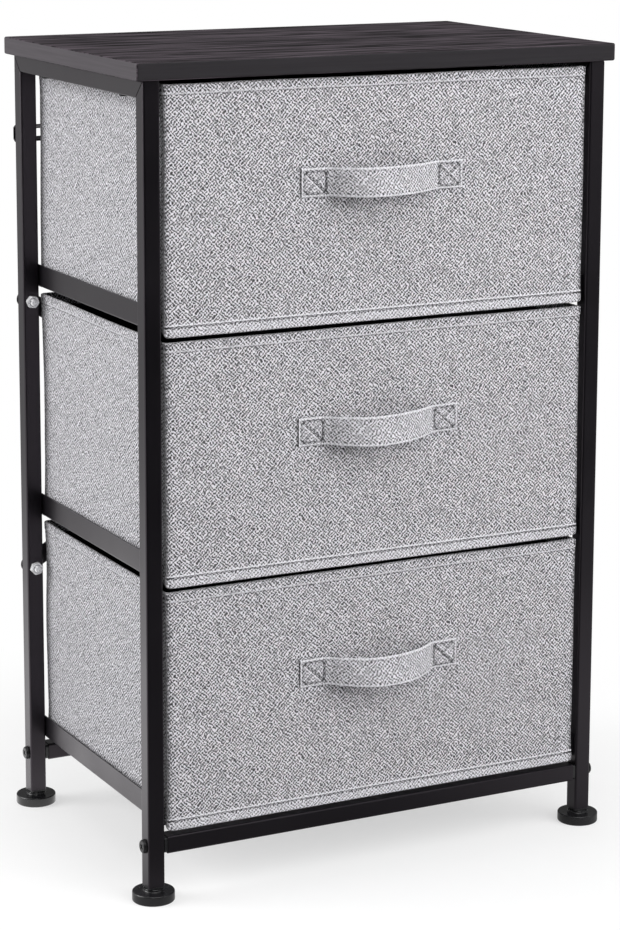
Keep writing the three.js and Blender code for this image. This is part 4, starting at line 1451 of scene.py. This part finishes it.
def studio_world(strength):
    """White to the camera. Objects see a bright backdrop behind them and a dim room in front."""
    world = bpy.data.worlds.new("studio")
    world.use_nodes = True
    bpy.context.scene.world = world
    w = Wiring(world.node_tree)
    x, y, z = w.split(w.add("ShaderNodeTexCoord").outputs["Generated"])
    behind = w.span(y, -0.35, 0.45)
    level = w.times(w.plus(0.5, w.times(behind, 0.5)), strength)
    rays = w.add("ShaderNodeLightPath").outputs
    seen = w.math("MAXIMUM", rays["Is Camera Ray"], rays["Is Transmission Ray"])
    # Shiny faces see a lit wall to the left, a dim one behind, a pale ceiling, a lit panel far to
    # the right and a dark room in front.
    left = w.times(w.span(x, -0.15, -0.5), w.span(y, -0.5, 0.3))
    right = w.times(w.span(x, 0.44, 0.56), w.span(y, -0.3, -0.7))
    room = 0.02
    for wall, glow in (
            (behind, 0.1), (left, 0.6), (w.span(z, 0.35, 0.9), 0.5), (right, 0.8)):
        room = w.plus(room, w.times(wall, glow))
    lit = w.add("ShaderNodeMix", data_type="FLOAT")
    w.put(lit.inputs[0], rays["Is Glossy Ray"])
    w.put(lit.inputs[2], level)
    w.put(lit.inputs[3], room)
    background = w.tree.nodes["Background"]
    background.inputs["Color"].default_value = (1.0, 1.0, 1.0, 1.0)
    w.put(background.inputs["Strength"], w.math("MAXIMUM", lit.outputs[0], seen))


def floor_material():
    """Plain pale floor: it takes shadows near the object and fades into white further out."""
    w = Pattern("pale_floor", {"Roughness": 0.9, "Specular IOR Level": 0.0})
    place = w.place()
    grain = w.noise(place, 30.0)
    rays = w.add("ShaderNodeLightPath").outputs
    # It throws less light up at the object than its white would.
    pale = w.mix(grain, (0.93, 0.93, 0.93), (0.96, 0.96, 0.96))
    w.put(w.shader.inputs["Base Color"], w.mix(rays["Is Diffuse Ray"], pale, (0.5, 0.5, 0.5)))
    x, y, _ = w.split(place)
    distance = w.math("SQRT", w.plus(w.times(x, x), w.times(y, y)))
    seen = w.times(w.span(distance, 0.24, 0.6, 0.55, 1.0), rays["Is Camera Ray"])
    white = w.add("ShaderNodeEmission", {"Strength": 1.0})
    mixed = w.add("ShaderNodeMixShader", {0: seen, 1: w.shader.outputs[0], 2: white.outputs[0]})
    # Shiny faces see the floor lit behind and to the left, and dark in front.
    toward = w.plus(w.times(x, -0.46), w.times(y, 0.87))
    rear = w.times(
        w.span(toward, -0.15, 0.3, 0.0, 1.6), w.span(toward, 0.7, 1.5, 1.0, 0.3))
    rear = w.plus(rear, w.span(toward, 2.5, 6.0, 0.0, 0.2))
    near = w.times(w.span(x, 0.1, 0.4, 0.15, 0.75), w.span(y, -1.1, -0.5))
    right = w.times(w.span(x, 1.5, 3.0, 0.0, 0.42), w.span(y, -1.0, -3.0))
    glow = w.plus(w.math("MAXIMUM", w.math("MAXIMUM", rear, near), right), 0.015)
    mirrored = w.add("ShaderNodeEmission", {"Strength": glow})
    both = w.add("ShaderNodeMixShader", {
        0: rays["Is Glossy Ray"], 1: mixed.outputs[0], 2: mirrored.outputs[0]})
    w.put(w.tree.nodes["Material Output"].inputs["Surface"], both.outputs[0])
    return w.material


def area_light(name, place, target, size, power, mirrored=True):
    """A rectangular softbox turned to its target. Shiny faces may be kept from seeing it."""
    light = bpy.data.lights.new(name, "AREA")
    light.shape = "RECTANGLE"
    light.size, light.size_y = size
    light.energy = power
    lamp = linked(name, light)
    lamp.location = place
    lamp.rotation_euler = (Vector(target) - Vector(place)).to_track_quat("-Z", "Y").to_euler()
    lamp.visible_glossy = mirrored


def camera(stage):
    """The camera at the photo's viewing angle."""
    data = bpy.data.cameras.new("camera")
    data.lens = stage.lens
    data.sensor_width = 36.0
    data.shift_y = stage.shift
    data.clip_end = 50.0
    view = linked("camera", data)
    forward = Vector((
        math.sin(stage.yaw) * math.cos(stage.pitch),
        math.cos(stage.yaw) * math.cos(stage.pitch), -math.sin(stage.pitch)))
    turn = forward.to_track_quat("-Z", "Y").to_matrix().to_4x4()
    view.matrix_world = (
        Matrix.Translation(stage.place) @ turn @ Matrix.Rotation(stage.roll, 4, "Z"))
    bpy.context.scene.camera = view


# Operators


class DRESSER_OT_stage(bpy.types.Operator):
    """Make the floor, the light and the camera"""

    bl_idname = "dresser.stage"
    bl_label = "Stage"

    def execute(self, context):
        stage = context.scene.dresser_stage
        context.scene.view_settings.view_transform = "Standard"
        camera(stage)
        studio_world(stage.sky)
        shape = bmesh.new()
        bmesh.ops.create_grid(shape, x_segments=4, y_segments=4, size=6.0)
        floor = linked("floor", mesh_of("floor", shape))
        floor.data.materials.append(floor_material())
        target = (0.0, 0.0, 0.35)
        for side, place, size, power, mirrored in (
                ("left", (-2.4, 0.8, 1.4), (1.6, 2.0), 54.0, True),
                ("right", (2.0, -2.1, 1.6), (2.0, 1.8), 42.0, False),
                ("front", (0.6, -2.6, 1.5), (1.8, 1.4), 22.0, False),
                ("top", (-0.2, -1.5, 2.6), (2.2, 1.6), 22.0, True)):
            area_light(f"{side}_softbox", place, target, size, power, mirrored)
        return {"FINISHED"}


class DRESSER_OT_frame(bpy.types.Operator):
    """Make the tube frame, the ledge rails, the braces and the wall brackets"""

    bl_idname = "dresser.frame"
    bl_label = "Tube frame"

    def execute(self, context):
        steel = context.scene.dresser_steel
        tree = tube_tree()
        for side in SIDES:
            for end, slope in zip(ENDS, (-1.0, 1.0)):
                square_tube(f"{end}_leg_{side}", Z, 0.0, slope, tree, steel)
                for plug in ("leg_plug", "bar_plug"):
                    finer_copy(f"{plug}_{end}_{side}", "black_plastic")
            square_tube(f"top_rail_{side}", Y, -1.0, 1.0, tree, steel)
            finer_copy(f"wall_bracket_{side}", "satin_black_paint")
        for end in ENDS:
            square_tube(f"{end}_cross_bar", X, 0.0, 0.0, tree, steel)
        # The ledges keep clear of the legs in front and behind.
        sizes = {
            "sheet": 0.0012, "bend": 0.0022, "steps": 6, "edge": 0.00025,
            "ledge_front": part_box("drawer_lower_front_board")[1].y + 0.0045,
            "ledge_rear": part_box("rear_leg_left")[1].y - 0.018,
        }
        for level in LEVELS:
            for side in SIDES:
                ledge_rail(f"ledge_rail_{level}_{side}", side, sizes)
        brace_strip("brace_strip_rising", 1, False)
        brace_strip("brace_strip_falling", -1, True)
        return {"FINISHED"}


class DRESSER_OT_board(bpy.types.Operator):
    """Make the top board"""

    bl_idname = "dresser.board"
    bl_label = "Top board"

    def execute(self, context):
        top_board(context.scene.dresser_board)
        return {"FINISHED"}


class DRESSER_OT_drawers(bpy.types.Operator):
    """Make the drawers' fabric bodies, their seams and the finish of their boards"""

    bl_idname = "dresser.drawers"
    bl_label = "Fabric drawers"

    def execute(self, context):
        fabric = context.scene.dresser_fabric
        stitches = stitch_tree()
        for level, word in enumerate(LEVELS):
            body = f"drawer_{word}"
            form = DrawerForm(level, fabric)
            add_piece(
                f"{body}_shell", drawer_mesh(form), body, [f"{body}_fabric_body"],
                ["woven_front", "woven_side", "dark_lining"])
            sew(
                f"{body}_seams", seam_lines(form), body, fabric, stitches, wander=0.05,
                seed=level)
            for part, finish_name in (
                    ("front_board", "brown_fibreboard"), ("base_board", "dark_lining")):
                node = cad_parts[f"{body}_{part}"]
                node.data.materials.clear()
                node.data.materials.append(finish(finish_name))
        return {"FINISHED"}


class DRESSER_OT_handles(bpy.types.Operator):
    """Make the pull handles and their stitched boxes"""

    bl_idname = "dresser.handles"
    bl_label = "Pull handles"

    def execute(self, context):
        fabric = context.scene.dresser_fabric
        stitches = bpy.data.node_groups["Stitches"]
        for level, word in enumerate(LEVELS):
            body = f"drawer_{word}"
            form = StrapForm(level, context.scene.dresser_handle)
            add_piece(
                f"{body}_strap", form.mesh(), body, [f"{body}_handle"],
                ["woven_strap"])
            sew(
                f"{body}_strap_stitches", form.stitch_lines(), body, fabric, stitches,
                wander=0.06, seed=10 + level)
        return {"FINISHED"}


class DRESSER_OT_fasteners(bpy.types.Operator):
    """Make the bolts, nuts, screws and the brace's rivet"""

    bl_idname = "dresser.fasteners"
    bl_label = "Fasteners"

    def execute(self, context):
        tree = fastener_tree()
        corners = [(end, side) for side in SIDES for end in ENDS]

        leg_low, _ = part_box("front_leg_left")
        low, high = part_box("bar_bolt_front_left")
        bolt = pan_screw(
            high.z - low.z, leg_low.x - low.x, M6, high.x - leg_low.x,
            thread_pitch=0.001, thread_from=0.016)
        rows = []
        for end, side in corners:
            sign = -1 if side == "left" else 1
            place = middle_of(f"bar_bolt_{end}_{side}")
            place.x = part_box(f"{end}_leg_{side}")[0 if side == "left" else 1].x
            rows.append((f"bar_bolt_{end}_{side}", place, turn_of((sign, 0, 0), 0.6 * sign)))
        set_fasteners("bar_bolts", bolt, rows, tree, "black_screw_steel")

        rail_low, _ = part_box("top_rail_left")
        low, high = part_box("board_screw_front_left")
        screw = pan_screw(
            high.x - low.x, rail_low.z - low.z, shank=0.004, reach=high.z - rail_low.z,
            thread_pitch=0.0014, thread_from=0.015)
        rows = []
        for end, side in corners:
            place = middle_of(f"board_screw_{end}_{side}")
            place.z = rail_low.z
            rows.append((f"board_screw_{end}_{side}", place, turn_of((0, 0, -1), 0.4)))
        set_fasteners("board_screws", screw, rows, tree, "black_screw_steel")

        strip_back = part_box("brace_strip_rising")[1].y
        low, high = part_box("brace_bolt_lower_left")
        bolt = pan_screw(
            high.x - low.x, high.y - strip_back, M6, strip_back - low.y,
            thread_pitch=0.001, thread_from=0.012)
        nut_low, nut_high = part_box("brace_nut_lower_left")
        nut = hexagon_nut(across_flats=0.01, height=nut_high.y - nut_low.y, bore=M6)
        bolt_rows, nut_rows = [], []
        for level in ("lower", "upper"):
            for side in SIDES:
                index = len(bolt_rows)
                place = middle_of(f"brace_bolt_{level}_{side}")
                for kind, rows, y, turn in (
                        ("bolt", bolt_rows, strip_back, turn_of((0, 1, 0), 0.5 * index)),
                        ("nut", nut_rows, nut_high.y, turn_of((0, -1, 0), 0.35 * index + 0.2))):
                    rows.append((f"brace_{kind}_{level}_{side}", (place.x, y, place.z), turn))
        set_fasteners("brace_bolts", bolt, bolt_rows, tree, "bright_zinc")
        set_fasteners("brace_nuts", nut, nut_rows, tree, "bright_zinc")
        brace_rivet()
        return {"FINISHED"}


class DRESSER_OT_feet(bpy.types.Operator):
    """Make the levelling feet"""

    bl_idname = "dresser.feet"
    bl_label = "Levelling feet"

    def execute(self, context):
        for side in SIDES:
            for end in ENDS:
                levelling_foot(f"levelling_foot_{end}_{side}", f"foot_{end}_{side}")
        return {"FINISHED"}


class DRESSER_PT_panel(bpy.types.Panel):
    """Lists the dresser's pieces and their sizes"""

    bl_idname = "DRESSER_PT_panel"
    bl_label = "Fabric drawer dresser"
    bl_space_type = "VIEW_3D"
    bl_region_type = "UI"
    bl_category = "Dresser"

    def draw(self, context):
        layout = self.layout
        for operator in OPERATORS:
            layout.operator(operator.bl_idname)
        for name, group in GROUPS.items():
            box = layout.box()
            box.label(text=name.replace("dresser_", "").title())
            for key in group.__annotations__:
                box.prop(getattr(context.scene, name), key)


GROUPS = {
    "dresser_stage": DRESSER_PG_stage,
    "dresser_steel": DRESSER_PG_steel,
    "dresser_board": DRESSER_PG_board,
    "dresser_fabric": DRESSER_PG_fabric,
    "dresser_handle": DRESSER_PG_handle,
}
OPERATORS = (
    DRESSER_OT_stage,
    DRESSER_OT_frame,
    DRESSER_OT_board,
    DRESSER_OT_drawers,
    DRESSER_OT_handles,
    DRESSER_OT_fasteners,
    DRESSER_OT_feet,
)


def register():
    for entry in (*GROUPS.values(), *OPERATORS, DRESSER_PT_panel):
        bpy.utils.register_class(entry)
    for name, group in GROUPS.items():
        setattr(bpy.types.Scene, name, PointerProperty(type=group))


def unregister():
    for name in GROUPS:
        delattr(bpy.types.Scene, name)
    for entry in reversed((*GROUPS.values(), *OPERATORS, DRESSER_PT_panel)):
        bpy.utils.unregister_class(entry)


def main():
    register()
    for operator in OPERATORS:
        group, name = operator.bl_idname.split(".")
        getattr(getattr(bpy.ops, group), name)()


if __name__ == "__main__":
    main()
